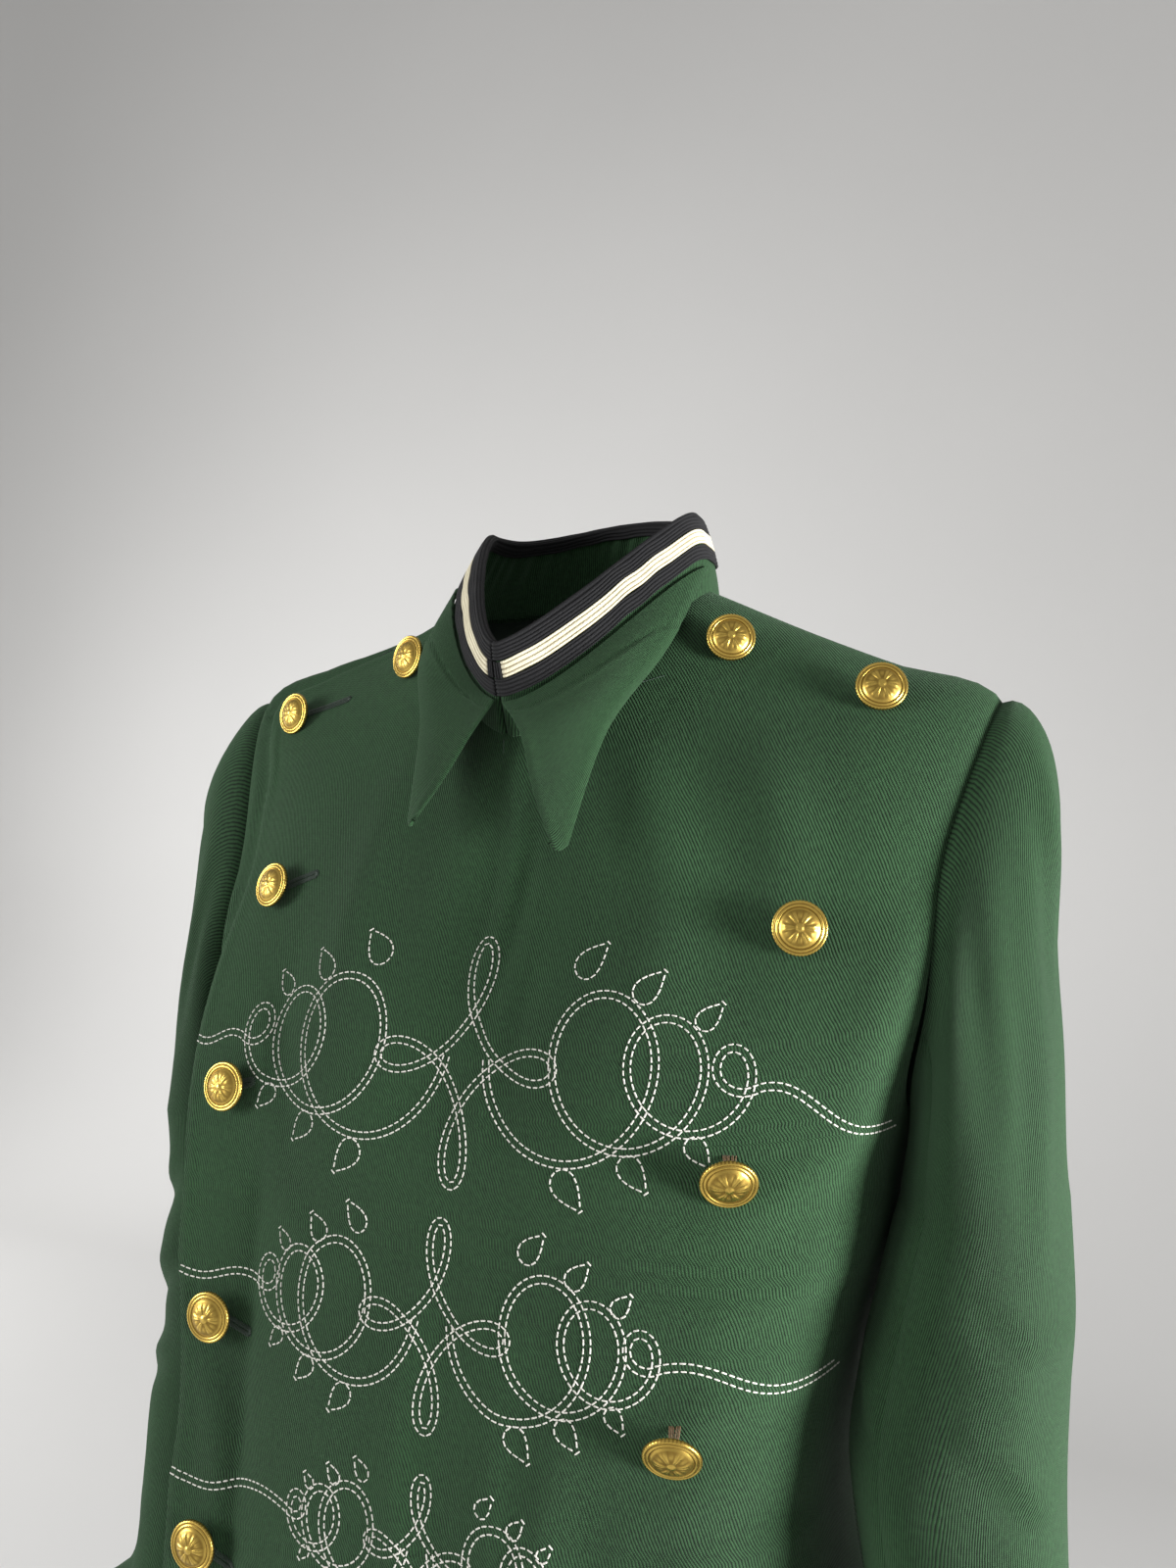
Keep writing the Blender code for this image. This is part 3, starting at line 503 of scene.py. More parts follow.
class NodeBench:
    # Adds nodes to one tree; each method gives the output that the next node takes.
    def __init__(self, tree):
        self.tree = tree

    def put(self, socket, value):
        if isinstance(value, bpy.types.NodeSocket):
            self.tree.links.new(value, socket)
        elif isinstance(value, tuple) and len(value) < len(socket.default_value):
            socket.default_value = (*value, 1.0)
        else:
            socket.default_value = value

    def add(self, kind, output=0, inputs=(), **values):
        node = self.tree.nodes.new(kind)
        for key, value in values.items():
            setattr(node, key, value)
        for label, value in dict(inputs).items():
            self.put(node.inputs[label], value)
        return node.outputs if output is None else node.outputs[output]

    def math(self, operation, *values):
        return self.add("ShaderNodeMath", 0, enumerate(values), operation=operation)

    def noise(self, vector, scale, detail=2.0, roughness=0.5):
        inputs = {"Vector": vector, "Scale": scale, "Detail": detail, "Roughness": roughness}
        return self.add("ShaderNodeTexNoise", "Fac", inputs)

    def sway(self, value, amount, onto):
        # A value that varies about a half, brought to vary about nought and added to another.
        return self.math("MULTIPLY_ADD", self.math("SUBTRACT", value, 0.5), amount, onto)

    def mix(self, factor, first, second):
        return self.add("ShaderNodeMix", 2, {0: factor, 6: first, 7: second}, data_type="RGBA")

    def clamp(self, value):
        return self.add("ShaderNodeClamp", 0, {0: value})

    def weaveMap(self):
        return self.add("ShaderNodeUVMap", uv_map="weave")

    def place(self):
        return self.add("ShaderNodeTexCoord", "Object")

    def finish(self, colour, roughness, bump=None, fixed=()):
        shader = self.tree.nodes["Principled BSDF"].inputs
        for label, value in {"Base Color": colour, "Roughness": roughness, **dict(fixed)}.items():
            self.put(shader[label], value)
        if bump:
            inputs = dict(zip(("Height", "Distance", "Strength"), bump))
            self.put(shader["Normal"], self.add("ShaderNodeBump", "Normal", inputs))


def newTree(name, kind, inputs, outputs):
    tree = bpy.data.node_groups.new(name, kind)
    for label, socket, *value in inputs:
        made = tree.interface.new_socket(label, in_out="INPUT", socket_type="NodeSocket" + socket)
        if value:
            made.default_value = value[0]
    for label, socket in outputs:
        tree.interface.new_socket(label, in_out="OUTPUT", socket_type="NodeSocket" + socket)
    given = tree.nodes.new("NodeGroupInput").outputs
    return NodeBench(tree), given, tree.nodes.new("NodeGroupOutput").inputs


def newMaterial(name):
    material = bpy.data.materials.new(name)
    material.use_nodes = True
    return material, NodeBench(material.node_tree)


# Diagonal wool ribs with yarn crowns: the vector is the cloth's own map, in metres.
def buildTwill():
    n, given, result = newTree(
        "twillWeave", "ShaderNodeTree",
        [("Vector", "Vector"), ("Pitch", "Float", 0.00125), ("Lean", "Float", 62.0),
         ("Dark", "Color", (0, 0, 0, 1)), ("Light", "Color", (1, 1, 1, 1))],
        [("Color", "Color"), ("Height", "Float"), ("Nap", "Float")])
    vector, pitch = given["Vector"], given["Pitch"]
    u, v = n.add("ShaderNodeSeparateXYZ", None, {0: vector})[:2]
    angle = n.math("RADIANS", given["Lean"])
    c, s = n.math("COSINE", angle), n.math("SINE", angle)
    across = n.math("SUBTRACT", n.math("MULTIPLY", u, s), n.math("MULTIPLY", v, c))
    along = n.math("ADD", n.math("MULTIPLY", u, c), n.math("MULTIPLY", v, s))
    drift = n.math("SUBTRACT", n.noise(vector, 160.0, 1.0), 0.5)
    ribPlace = n.math("ADD", n.math("DIVIDE", across, pitch), n.math("MULTIPLY", drift, 0.55))
    wave = n.math("SINE", n.math("MULTIPLY", ribPlace, math.pi))
    rib = n.math("POWER", n.math("ABSOLUTE", wave), 1.15)
    crownPlace = n.math("DIVIDE", along, n.math("MULTIPLY", pitch, 0.52))
    step = n.math("MULTIPLY", n.math("FLOOR", ribPlace), 0.5)
    crown = n.math("SINE", n.math("MULTIPLY", n.math("ADD", crownPlace, step), 2 * math.pi))
    fuzz = n.noise(vector, 2600.0, 2.0, 0.6)
    height = n.math("MULTIPLY", rib, n.math("MULTIPLY_ADD", crown, 0.13, 0.87))
    height = n.sway(fuzz, 0.35, height)
    wide = n.noise(vector, 9.0, 3.0, 0.55)
    patch = n.noise(vector, 420.0, 2.0, 0.6)
    tone = n.clamp(n.sway(wide, 0.5, n.sway(patch, 0.7, height)))
    n.put(result["Color"], n.mix(tone, given["Dark"], given["Light"]))
    n.put(result["Height"], height)
    n.put(result["Nap"], wide)
    return n.tree


twill = buildTwill()
wool = {
    "pitch": 0.00125,
    "dark": (0.0012, 0.0062, 0.0020),
    "light": (0.0310, 0.0900, 0.0335),
    "sheen": (0.55, 0.86, 0.58),
    "sheenWeight": 0.14,
    "roughness": 0.82,
}


def woolMaterial(name, lean):
    material, n = newMaterial(name)
    woven = n.add("ShaderNodeGroup", None, {
        "Vector": n.weaveMap(), "Pitch": wool["pitch"], "Lean": lean,
        "Dark": wool["dark"], "Light": wool["light"],
    }, node_tree=twill)
    rough = n.math("MULTIPLY_ADD", woven["Nap"], 0.16, wool["roughness"] - 0.08)
    n.finish(woven["Color"], rough, (woven["Height"], 0.0004, 0.85), {
        "Sheen Weight": wool["sheenWeight"],
        "Sheen Roughness": 0.45,
        "Sheen Tint": wool["sheen"],
        "Specular IOR Level": 0.25,
    })
    return material


woolFront = woolMaterial("wool_front", 62.0)
woolSleeve = woolMaterial("wool_sleeve", 80.0)
woolSleeveRight = woolMaterial("wool_sleeve_right", 80.0)
woolBand = woolMaterial("wool_band", 76.0)
woolFlapLeft = woolMaterial("wool_flap_left", 52.0)
woolFlapRight = woolMaterial("wool_flap_right", 8.0)


def liningMaterial():
    material, n = newMaterial("green_lining")
    vector = n.weaveMap()
    fine = n.noise(vector, 900.0, 2.0, 0.6)
    broad = n.noise(vector, 14.0)
    tone = n.math("MULTIPLY_ADD", fine, 0.35, n.math("MULTIPLY", broad, 0.65))
    colour = n.mix(tone, (0.006, 0.017, 0.009), (0.016, 0.042, 0.022))
    n.finish(colour, n.math("MULTIPLY_ADD", broad, 0.2, 0.38), (fine, 0.0001, 0.4))
    return material


lining = liningMaterial()


# Flat braid: the map's second axis counts its ribs, and the first runs along it in metres.
def braidMaterial(name, groove, crest, roughness):
    material, n = newMaterial(name)
    along, across = n.add("ShaderNodeSeparateXYZ", None, {0: n.weaveMap()})[:2]
    crossing = n.math("ABSOLUTE", n.math("SINE", n.math("MULTIPLY", across, math.pi)))
    skew = n.math("MULTIPLY_ADD", across, 0.45, n.math("DIVIDE", along, 0.00075))
    plait = n.math("SINE", n.math("MULTIPLY", skew, 2 * math.pi))
    vector = n.place()
    fuzz = n.noise(vector, 2400.0, 2.0, 0.6)
    worn = n.noise(vector, 130.0, 2.0, 0.6)
    tone = n.math("MULTIPLY_ADD", plait, 0.10, n.math("POWER", crossing, 0.6))
    tone = n.clamp(n.sway(worn, 0.5, tone))
    height = n.math("MULTIPLY_ADD", plait, 0.5, n.math("MULTIPLY", fuzz, 0.8))
    rough = n.math("MULTIPLY_ADD", fuzz, 0.2, roughness - 0.1)
    n.finish(n.mix(tone, groove, crest), rough, (height, 0.00016, 0.7),
             {"Sheen Weight": 0.04, "Specular IOR Level": 0.22})
    return material


blackBraid = braidMaterial("black_braid_cord", (0.0010, 0.0010, 0.0012), (0.0095, 0.0095, 0.0110), 0.66)
ivoryBraid = braidMaterial("ivory_braid_cord", (0.20, 0.14, 0.055), (0.80, 0.75, 0.56), 0.6)


def brassMaterial():
    material, n = newMaterial("brass_gilt")
    recess = n.add("ShaderNodeAttribute", "Fac", attribute_name="recess")
    vector = n.place()
    tarnish = n.noise(vector, 420.0, 4.0, 0.6)
    fine = n.noise(vector, 3000.0, 2.0, 0.6)
    # Darker and rougher where the recess marks and the tarnish noise are high.
    recessAndTarnish = n.clamp(n.sway(tarnish, 0.5, recess))
    rough = n.math("MULTIPLY_ADD", recessAndTarnish, 0.32, n.math("MULTIPLY_ADD", fine, 0.12, 0.17))
    height = n.math("MULTIPLY_ADD", fine, 0.4, tarnish)
    n.finish(n.mix(recessAndTarnish, (0.80, 0.56, 0.13), (0.15, 0.085, 0.018)), rough,
             (height, 0.00008, 0.35), {"Metallic": 1.0})
    return material


brassGilt = brassMaterial()


def threadMaterial(name, dark, light):
    material, n = newMaterial(name)
    vector = n.place()
    twist = n.add("ShaderNodeTexWave", "Fac", {"Vector": vector, "Scale": 0.314 / 0.0009, "Distortion": 1.5},
                  bands_direction="DIAGONAL")
    fuzz = n.noise(vector, 1800.0, 2.0, 0.6)
    tone = n.math("MULTIPLY_ADD", twist, 0.5, n.math("MULTIPLY", fuzz, 0.5))
    n.finish(n.mix(tone, dark, light), n.math("MULTIPLY_ADD", fuzz, 0.25, 0.5),
             (tone, 0.00012, 0.6), {"Sheen Weight": 0.2})
    return material


creamThread = threadMaterial("cream_thread", (0.50, 0.48, 0.42), (0.86, 0.84, 0.78))
greenThread = threadMaterial("green_thread", (0.004, 0.016, 0.008), (0.014, 0.045, 0.022))
brownThread = threadMaterial("brown_thread", (0.05, 0.028, 0.010), (0.20, 0.12, 0.045))
print("materials made")

# Floor and back wall in one pale sweep.
sweepForm = {
    "width": 5.0,
    "front": -4.0,
    "top": 4.0,
    "radius": 0.9,
    "shades": ((0.67, 0.665, 0.655), (0.76, 0.754, 0.744)),
}


def addSweep():
    floor, wall, radius = studio["floorHeight"], studio["wallDistance"], sweepForm["radius"]
    profile = [(sweepForm["front"], floor)]
    for k in range(17):
        angle = math.pi / 2 * k / 16
        profile.append((wall - radius + radius * math.sin(angle), floor + radius - radius * math.cos(angle)))
    profile.append((wall, sweepForm["top"]))
    points = [(x, y, z) for y, z in profile for x in (-sweepForm["width"], sweepForm["width"])]
    faces = [(2 * k, 2 * k + 1, 2 * k + 3, 2 * k + 2) for k in range(len(profile) - 1)]
    material, n = newMaterial("pale_sweep")
    n.finish(n.mix(n.noise(n.place(), 0.7), *sweepForm["shades"]), 0.9)
    newPiece("sweep", points, faces, [material])


addSweep()

# The three body panels.
bodyCloth = {
    "pitch": 0.0038,
    "pitchUnder": 0.0042,
    "pitchBack": 0.0036,
    "armRows": 66,
    "pullReach": 56.0,
    "sideSwell": 0.0009,
    "sideSwellPlace": (0.167, -0.302),
    "sideSwellReach": (0.016, 0.036),
    "ridgeOutside": 0.0045,
    "ridgeInside": 0.0085,
    "ridgeHeight": 0.0006,
}
# Each crease: a line of (x, z) points, width, height, and how much of a trough runs beside it.
frontCreases = [
    ([(0.000, -0.092), (0.004, -0.130), (0.003, -0.170), (-0.003, -0.215), (0.000, -0.250)],
     0.0055, 0.0021, 0.9),
    ([(0.016, -0.150), (0.012, -0.190), (0.008, -0.235), (0.012, -0.275)], 0.0080, 0.0018, 0.7),
    ([(0.188, -0.150), (0.172, -0.205), (0.160, -0.255)], 0.0120, 0.0030, 0.8),
    ([(0.175, -0.235), (0.150, -0.262), (0.128, -0.276), (0.105, -0.280)], 0.0090, 0.0022, 0.7),
    ([(0.160, -0.300), (0.138, -0.312), (0.112, -0.316)], 0.0070, 0.0014, 0.7),
    ([(0.150, -0.345), (0.120, -0.352), (0.092, -0.366), (0.070, -0.372)], 0.0080, 0.0020, 0.6),
    ([(0.148, -0.400), (0.118, -0.398), (0.090, -0.407)], 0.0070, -0.0016, 0.5),
    ([(0.060, -0.360), (0.052, -0.420), (0.058, -0.480), (0.066, -0.550)], 0.0110, 0.0024, 0.6),
    ([(-0.012, -0.300), (-0.016, -0.380), (-0.010, -0.460), (-0.018, -0.556)], 0.0090, 0.0019, 0.7),
    ([(-0.095, -0.300), (-0.070, -0.318), (-0.045, -0.322)], 0.0080, 0.0014, 0.6),
    ([(-0.128, -0.205), (-0.112, -0.250), (-0.104, -0.300)], 0.0090, 0.0018, 0.6),
    ([(-0.140, -0.360), (-0.120, -0.420), (-0.116, -0.500)], 0.0085, 0.0017, 0.7),
    ([(0.052, -0.072), (0.070, -0.110), (0.084, -0.160), (0.086, -0.215)], 0.0150, 0.0024, 0.7),
    ([(0.112, -0.078), (0.128, -0.118), (0.134, -0.160)], 0.0120, 0.0016, 0.8),
    ([(-0.058, -0.085), (-0.070, -0.120), (-0.076, -0.170), (-0.066, -0.220)], 0.0140, 0.0022, 0.7),
    ([(0.036, -0.330), (0.030, -0.380), (0.034, -0.440)], 0.0080, 0.0012, 0.6),
]
backCreases = [
    ([(-0.150, -0.345), (-0.100, -0.362), (-0.050, -0.356), (-0.012, -0.366)], 0.0085, 0.0022, 0.8),
    ([(0.148, -0.350), (0.104, -0.372), (0.060, -0.368), (0.028, -0.380)], 0.0080, 0.0020, 0.8),
    ([(-0.120, -0.398), (-0.070, -0.404), (-0.020, -0.396), (0.030, -0.402)], 0.0075, -0.0017, 0.6),
    ([(0.130, -0.408), (0.090, -0.420), (0.050, -0.416)], 0.0070, 0.0016, 0.6),
    ([(-0.180, -0.215), (-0.140, -0.262), (-0.105, -0.318), (-0.090, -0.352)], 0.0120, 0.0026, 0.8),
    ([(0.182, -0.205), (0.146, -0.254), (0.112, -0.300), (0.098, -0.346)], 0.0125, 0.0024, 0.8),
    ([(-0.060, -0.075), (-0.020, -0.090), (0.030, -0.088), (0.072, -0.074)], 0.0100, 0.0013, 0.7),
    ([(-0.052, -0.420), (-0.060, -0.470), (-0.054, -0.550)], 0.0130, 0.0020, 0.7),
    ([(0.060, -0.430), (0.070, -0.490), (0.064, -0.552)], 0.0120, 0.0018, 0.7),
    ([(0.004, -0.120), (0.000, -0.200), (-0.004, -0.290)], 0.0140, -0.0012, 0.4),
]


def bodyPlaces():
    low, high = form["underarm"], form["shoulder"]
    parts = []
    for start, end in ((0.0, low), (high, form["neck"])):
        dense = np.linspace(start, end, 200)
        run = lengthsAlong(bodyPoint(dense, 90.0))
        marks = np.linspace(0.0, run[-1], int(run[-1] / bodyCloth["pitch"]) + 2)
        if start == 0.0:
            marks = np.concatenate([rimSteps[:-1], marks[1:]])
        else:
            marks = np.concatenate([marks[:-1], run[-1] - rimSteps[:-1][::-1]])
        parts.append(np.interp(marks, run, dense))
    count = bodyCloth["armRows"]
    arm = low + (high - low) * (1 - np.cos(np.pi * np.arange(1, count) / count)) / 2
    return np.concatenate([parts[0], arm, parts[1]])


placesAll = bodyPlaces()
lapTurns = lapTurn(placesAll)
lapJoin = (7.6, 8.4)
joinShare = smooth((placesAll - lapJoin[0]) / (lapJoin[1] - lapJoin[0]))
joinEnds = lapTurn(np.array(lapJoin))
insideJoin = (placesAll > lapJoin[0]) & (placesAll < lapJoin[1])
lapTurns = np.where(insideJoin, joinEnds[0] + (joinEnds[1] - joinEnds[0]) * joinShare, lapTurns)
calmPlaces = np.linspace(0.0, form["neck"], 441)
calmTurns = np.interp(calmPlaces, placesAll, lapTurns)
calmTurns = np.convolve(np.pad(calmTurns, 40, "edge"), np.hanning(81) / np.hanning(81).sum(), "valid")
calmTurns = np.interp(placesAll, calmPlaces, calmTurns)
lapLine = bodyPoint(placesAll, lapTurns)
insideArm = (placesAll > form["underarm"]) & (placesAll < form["shoulder"])
armFront = np.where(insideArm, armholeTurn(placesAll, True), 0.0)
armBack = np.where(insideArm, armholeTurn(placesAll, False), 0.0)


def panelGrid(pointAt, firstTurns, lastTurns, pitch, firstPull=0.0, lastPull=0.0):
    # Columns split by length, then drawn aside near an armhole and left alone further off.
    share = np.linspace(0.0, 1.0, 181)
    turns = firstTurns[:, None] + (lastTurns - firstTurns)[:, None] * share
    dense = pointAt(placesAll[:, None] + 0 * turns, turns)
    turns = arcSplit(dense, turns, pitch)
    fromFirst = turns - firstTurns[:, None]
    fromLast = lastTurns[:, None] - turns
    for pull, distance in ((firstPull, fromFirst), (-lastPull, fromLast)):
        pull = np.broadcast_to(pull, placesAll.shape)[:, None]
        turns = turns + pull * (1 - smooth(distance / bodyCloth["pullReach"]))
    places = placesAll[:, None] + 0 * turns
    return pointAt(places, turns), places, turns


def panelWeave(grid, turns, middle):
    # The cloth's own map, in metres: across from the middle line and up from the hem.
    u = lengthsAlong(grid)
    for i in range(len(grid)):
        u[i] -= np.interp(middle, turns[i], u[i])
    v = lengthsAlong(grid[:, grid.shape[1] // 2])
    return np.stack([u, v[:, None] + 0 * u], -1)


def addFrontLeft():
    grid, _, turns = panelGrid(lapPoint, 0.0 * placesAll, calmTurns, bodyCloth["pitch"],
                               armFront, calmTurns - lapTurns)
    x, z = grid[..., 0], grid[..., 2]
    lift = creaseHeight(frontCreases, x, z)
    edge = edgeDistance(grid, ("end",))
    lift += bodyCloth["ridgeHeight"] * bell(edge - bodyCloth["ridgeOutside"], 0.0036)
    (swellX, swellZ), (reachX, reachZ) = bodyCloth["sideSwellPlace"], bodyCloth["sideSwellReach"]
    swell = mound(np.abs(x) - swellX, reachX, z - swellZ, reachZ)
    lift += bodyCloth["sideSwell"] * swell * (x > 0)
    lift -= 0.9 * bodyCloth["ridgeHeight"] * bell(edge - bodyCloth["ridgeInside"], 0.0013)
    weave = panelWeave(grid, turns, 90.0)
    piece = shellFrom("clothFrontLeft", grid, weave, lift, woolFront, ("start", "last"))
    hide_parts("front_left")
    return piece


def addFrontRight():
    first = np.full(placesAll.shape, form["underFrontTurn"])
    last = np.full(placesAll.shape, 180.0)
    grid, places, turns = panelGrid(bodyPoint, first, last, bodyCloth["pitchUnder"], lastPull=armFront)
    normal = surfaceNormal(bodyPoint, places, turns)
    beyond = np.full(grid.shape[:2], 1e9)
    for point in lapLine:
        beyond = np.minimum(beyond, ((grid - point) ** 2).sum(-1))
    beyond = np.where(turns > lapTurns[:, None], np.sqrt(beyond), 0.0)
    sink = form["underlap"] + 0.0014 * smooth(places - 6.8)
    sink = sink * (1 - smooth((beyond - 0.009) / 0.012))
    sink = sink * smooth(edgeDistance(grid, ("end",)) / 0.006)
    lift = creaseHeight(frontCreases, -grid[..., 0], grid[..., 2]) * (sink < 0.0003)
    grid = grid - normal * sink[..., None]
    weave = panelWeave(grid, turns, 90.0)
    piece = shellFrom("clothFrontRight", grid, weave, lift, woolFront, ("end", "last"))
    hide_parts("front_right")
    return piece


def addBack():
    first = np.full(placesAll.shape, 180.0)
    grid, _, turns = panelGrid(bodyPoint, first, first + 180.0, bodyCloth["pitchBack"], armBack, armBack)
    lift = creaseHeight(backCreases, grid[..., 0], grid[..., 2])
    weave = panelWeave(grid, turns, 270.0)
    piece = shellFrom("clothBack", grid, weave, lift, woolFront, ("start", "end", "last"))
    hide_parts("back")
    return piece


frontLeft = addFrontLeft()
frontRight = addFrontRight()
backPanel = addBack()
print("body panels made")

# Sleeves: two pieces each, seamed at the front and the back of the arm.
sleeveCloth = {
    "pitch": 0.0039,
    "radius": 0.055,
    "headRidge": 0.0011,
    "headReach": 0.0075,
    "leanIn": 0.0028,
    "leanTurn": 46.0,
    "leanHeight": -0.284,
    "leanReach": 0.030,
}
# Here a crease's first number is the length round the arm in metres, from the outside towards the front.
sleeveCreases = [
    ([(0.020, -0.075), (0.024, -0.110), (0.018, -0.150), (0.012, -0.200)], 0.0060, 0.0022, 0.9),
    ([(0.052, -0.090), (0.060, -0.140), (0.064, -0.190), (0.058, -0.250)], 0.0085, 0.0022, 0.8),
    ([(0.036, -0.180), (0.034, -0.240), (0.040, -0.300)], 0.0090, 0.0017, 0.8),
    ([(0.078, -0.300), (0.052, -0.318), (0.026, -0.326), (0.004, -0.324)], 0.0060, 0.0022, 0.8),
    ([(0.082, -0.352), (0.058, -0.362), (0.030, -0.380), (0.010, -0.384)], 0.0065, 0.0026, 0.8),
    ([(0.080, -0.405), (0.054, -0.410), (0.026, -0.424)], 0.0060, 0.0022, 0.8),
    ([(-0.082, -0.322), (-0.056, -0.336), (-0.030, -0.346)], 0.0065, 0.0024, 0.8),
    ([(-0.086, -0.372), (-0.060, -0.380), (-0.036, -0.396)], 0.0065, 0.0026, 0.8),
    ([(-0.080, -0.420), (-0.052, -0.432), (-0.026, -0.436)], 0.0060, 0.0020, 0.8),
    ([(0.030, -0.430), (0.036, -0.480), (0.026, -0.540), (0.020, -0.600)], 0.0080, 0.0024, 0.7),
    ([(-0.030, -0.450), (-0.024, -0.500), (-0.034, -0.560)], 0.0085, 0.0020, 0.7),
    ([(-0.050, -0.100), (-0.058, -0.150), (-0.052, -0.210)], 0.0090, 0.0020, 0.8),
    ([(-0.018, -0.080), (-0.024, -0.120), (-0.020, -0.170)], 0.0075, 0.0014, 0.8),
    ([(0.150, -0.330), (0.130, -0.352), (0.112, -0.360)], 0.0070, 0.0014, 0.7),
]


def addSleevePart(name, nodes, sections, folds, firstTurn, lastTurn, mirror, material):
    def pointAt(along, turn):
        return sleevePoint(sections, folds, mirror, along, turn)

    dense = np.linspace(0.0, len(sections), 401)
    run = lengthsAlong(pointAt(dense, 0.0))
    marks = rimmedMarks(run[-1], int(run[-1] / sleeveCloth["pitch"]))
    rows = np.interp(marks, run, dense)[:, None]
    turns = firstTurn + (lastTurn - firstTurn) * np.linspace(0.0, 1.0, 121)[None, :] + 0 * rows
    turns = arcSplit(pointAt(rows, turns), turns, sleeveCloth["pitch"])
    grid = pointAt(rows, turns)
    z = grid[..., 2]
    around = np.radians(np.where(turns > 180, turns - 360, turns)) * sleeveCloth["radius"]
    lift = creaseHeight(sleeveCreases, around, z) * smooth(rows * 2.2)
    top = 0.5 + 0.5 * np.cos(np.radians(turns))
    head = edgeDistance(grid, ("first",)) - 0.006
    lift += sleeveCloth["headRidge"] * top * bell(head, sleeveCloth["headReach"])
    inward = np.abs((turns % 360.0) - 180.0)
    up = z - sleeveCloth["leanHeight"]
    lift += sleeveCloth["leanIn"] * mound(inward, sleeveCloth["leanTurn"], up, sleeveCloth["leanReach"])
    side = 1.0
    if mirror:
        side = -1.0
        grid = grid * mirrored
    weave = np.stack([-side * np.radians(turns) * sleeveCloth["radius"], -marks[:, None] + 0 * turns], -1)
    piece = shellFrom(name, grid, weave, lift, material, ("first", "start", "end"))
    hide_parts(*nodes)
    return piece


topTurns = (form["backSeam"] - 360.0, form["frontSeam"])
underTurns = (form["frontSeam"], form["backSeam"])
sleevePieces = [
    addSleevePart("clothSleeveTopLeft", ["sleeve_head_left", "sleeve_top_left"],
                  sleeveLeft, foldsLeft, *topTurns, False, woolSleeve),
    addSleevePart("clothSleeveUnderLeft", ["sleeve_under_left"],
                  sleeveLeft, foldsLeft, *underTurns, False, woolSleeve),
    addSleevePart("clothSleeveTopRight", ["sleeve_head_right", "sleeve_top_right", "sleeve_forearm_right"],
                  sleeveRight, foldsRight, *topTurns, True, woolSleeveRight),
    addSleevePart("clothSleeveUnderRight", ["sleeve_under_right"],
                  sleeveRight, foldsRight, *underTurns, True, woolSleeveRight),
]
print("sleeves made")

# The collar: a stand, the braids round it and two long flaps.
collar = {
    "top": np.array([0.037, -0.039, 0.056, 0.0585, -0.009, -0.080, 0.054, 1.45, 2.0]),
    "lean": 0.008,
    "tipLean": -0.0127,
    "bow": 0.0015,
    "openTurn": 95.5,
    "slack": math.degrees(0.0006 / 0.075),
    "wall": 0.0022,
    "rise": 0.041,
    "ripple": 0.00055,
    "ripplePitch": 0.0105,
    "braid": 0.0012,
    "braidLift": 0.0005,
    "braidEnd": 0.0048,
    "ivory": (0.617, 0.803),
    "lower": (0.415, 0.605),
    "ribSamples": 6,
}
startTurn = collar["openTurn"] + collar["slack"]
endTurn = startTurn + 360.0 - 2 * collar["slack"]


def collarPoint(height, turn):
    height, turn = together(height, turn)
    base = ringPoint(np.broadcast_to(bodyRings[-1], turn.shape + (9,)), turn)
    top = ringPoint(np.broadcast_to(collar["top"], turn.shape + (9,)), turn)
    top[..., 0] += collar["lean"] + collar["tipLean"] * np.maximum(0.0, np.sin(np.radians(turn))) ** 3
    point = base + (top - base) * height[..., None]
    bow = collar["bow"] * 4 * height * (1 - height)
    return point + unit(point * np.array([1.0, 1.0, 0.0])) * bow[..., None]


def collarNormal(height, turn):
    height, turn = together(height, turn)
    rise = collarPoint(height + 0.05, turn) - collarPoint(height - 0.05, turn)
    around = collarPoint(height, turn + 2.0) - collarPoint(height, turn - 2.0)
    return unit(np.cross(rise, around))


def collarRun(fromEnd, step):
    # Turns round the collar at even steps, leaving a length free at both ends, and the length at each.
    dense = np.linspace(startTurn, endTurn, 721)
    run = lengthsAlong(collarPoint(0.5, dense))
    marks = np.linspace(fromEnd, run[-1] - fromEnd, int(run[-1] / step))
    return np.interp(marks, run, dense), marks


def gentle(values, seed, knots, amount):
    # An even, repeatable wander along a length.
    drawn = np.random.default_rng(seed).uniform(-1, 1, knots)
    return amount * catmull(drawn[:, None], np.linspace(0, knots - 1, len(values)))[..., 0]


def addStand():
    turns, marks = collarRun(0.0, 0.0016)
    heights = np.concatenate([np.linspace(-0.03, 0.975, 28), 1.0 - rimSteps[:-1][::-1] / collar["rise"]])
    heightGrid, turnGrid = np.meshgrid(heights, turns, indexing="ij")
    grid, normal = collarPoint(heightGrid, turnGrid), collarNormal(heightGrid, turnGrid)
    ripple = np.sin(marks / collar["ripplePitch"] * 2 * math.pi + gentle(marks, 5, 30, 2.2))
    ripple *= collar["ripple"] * (1 + gentle(marks, 6, 24, 0.5))
    facing = smooth((heights - 0.25) / 0.4)[:, None] * ripple[None, :]
    edge = edgeDistance(grid, ("last", "start", "end"))
    pinch = shell["edgeRound"] * collar["wall"] * turnedShare(edge)[..., None]
    inner = grid - normal * (collar["wall"] - pinch + facing[..., None])
    weave = np.stack([-marks[None, :] + 0 * heightGrid, heightGrid * collar["rise"]], -1)
    piece = clothMesh("clothCollarStand", grid - normal * pinch, inner, weave, [woolBand, woolBand])
    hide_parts("collar_stand")
    return piece


def ribCrest(cell):
    crest = np.sqrt(np.maximum(0.0, 1 - (2 * (cell % 1.0) - 1) ** 2))
    crest[-1] = 0.0
    return 0.45 + 0.55 * crest


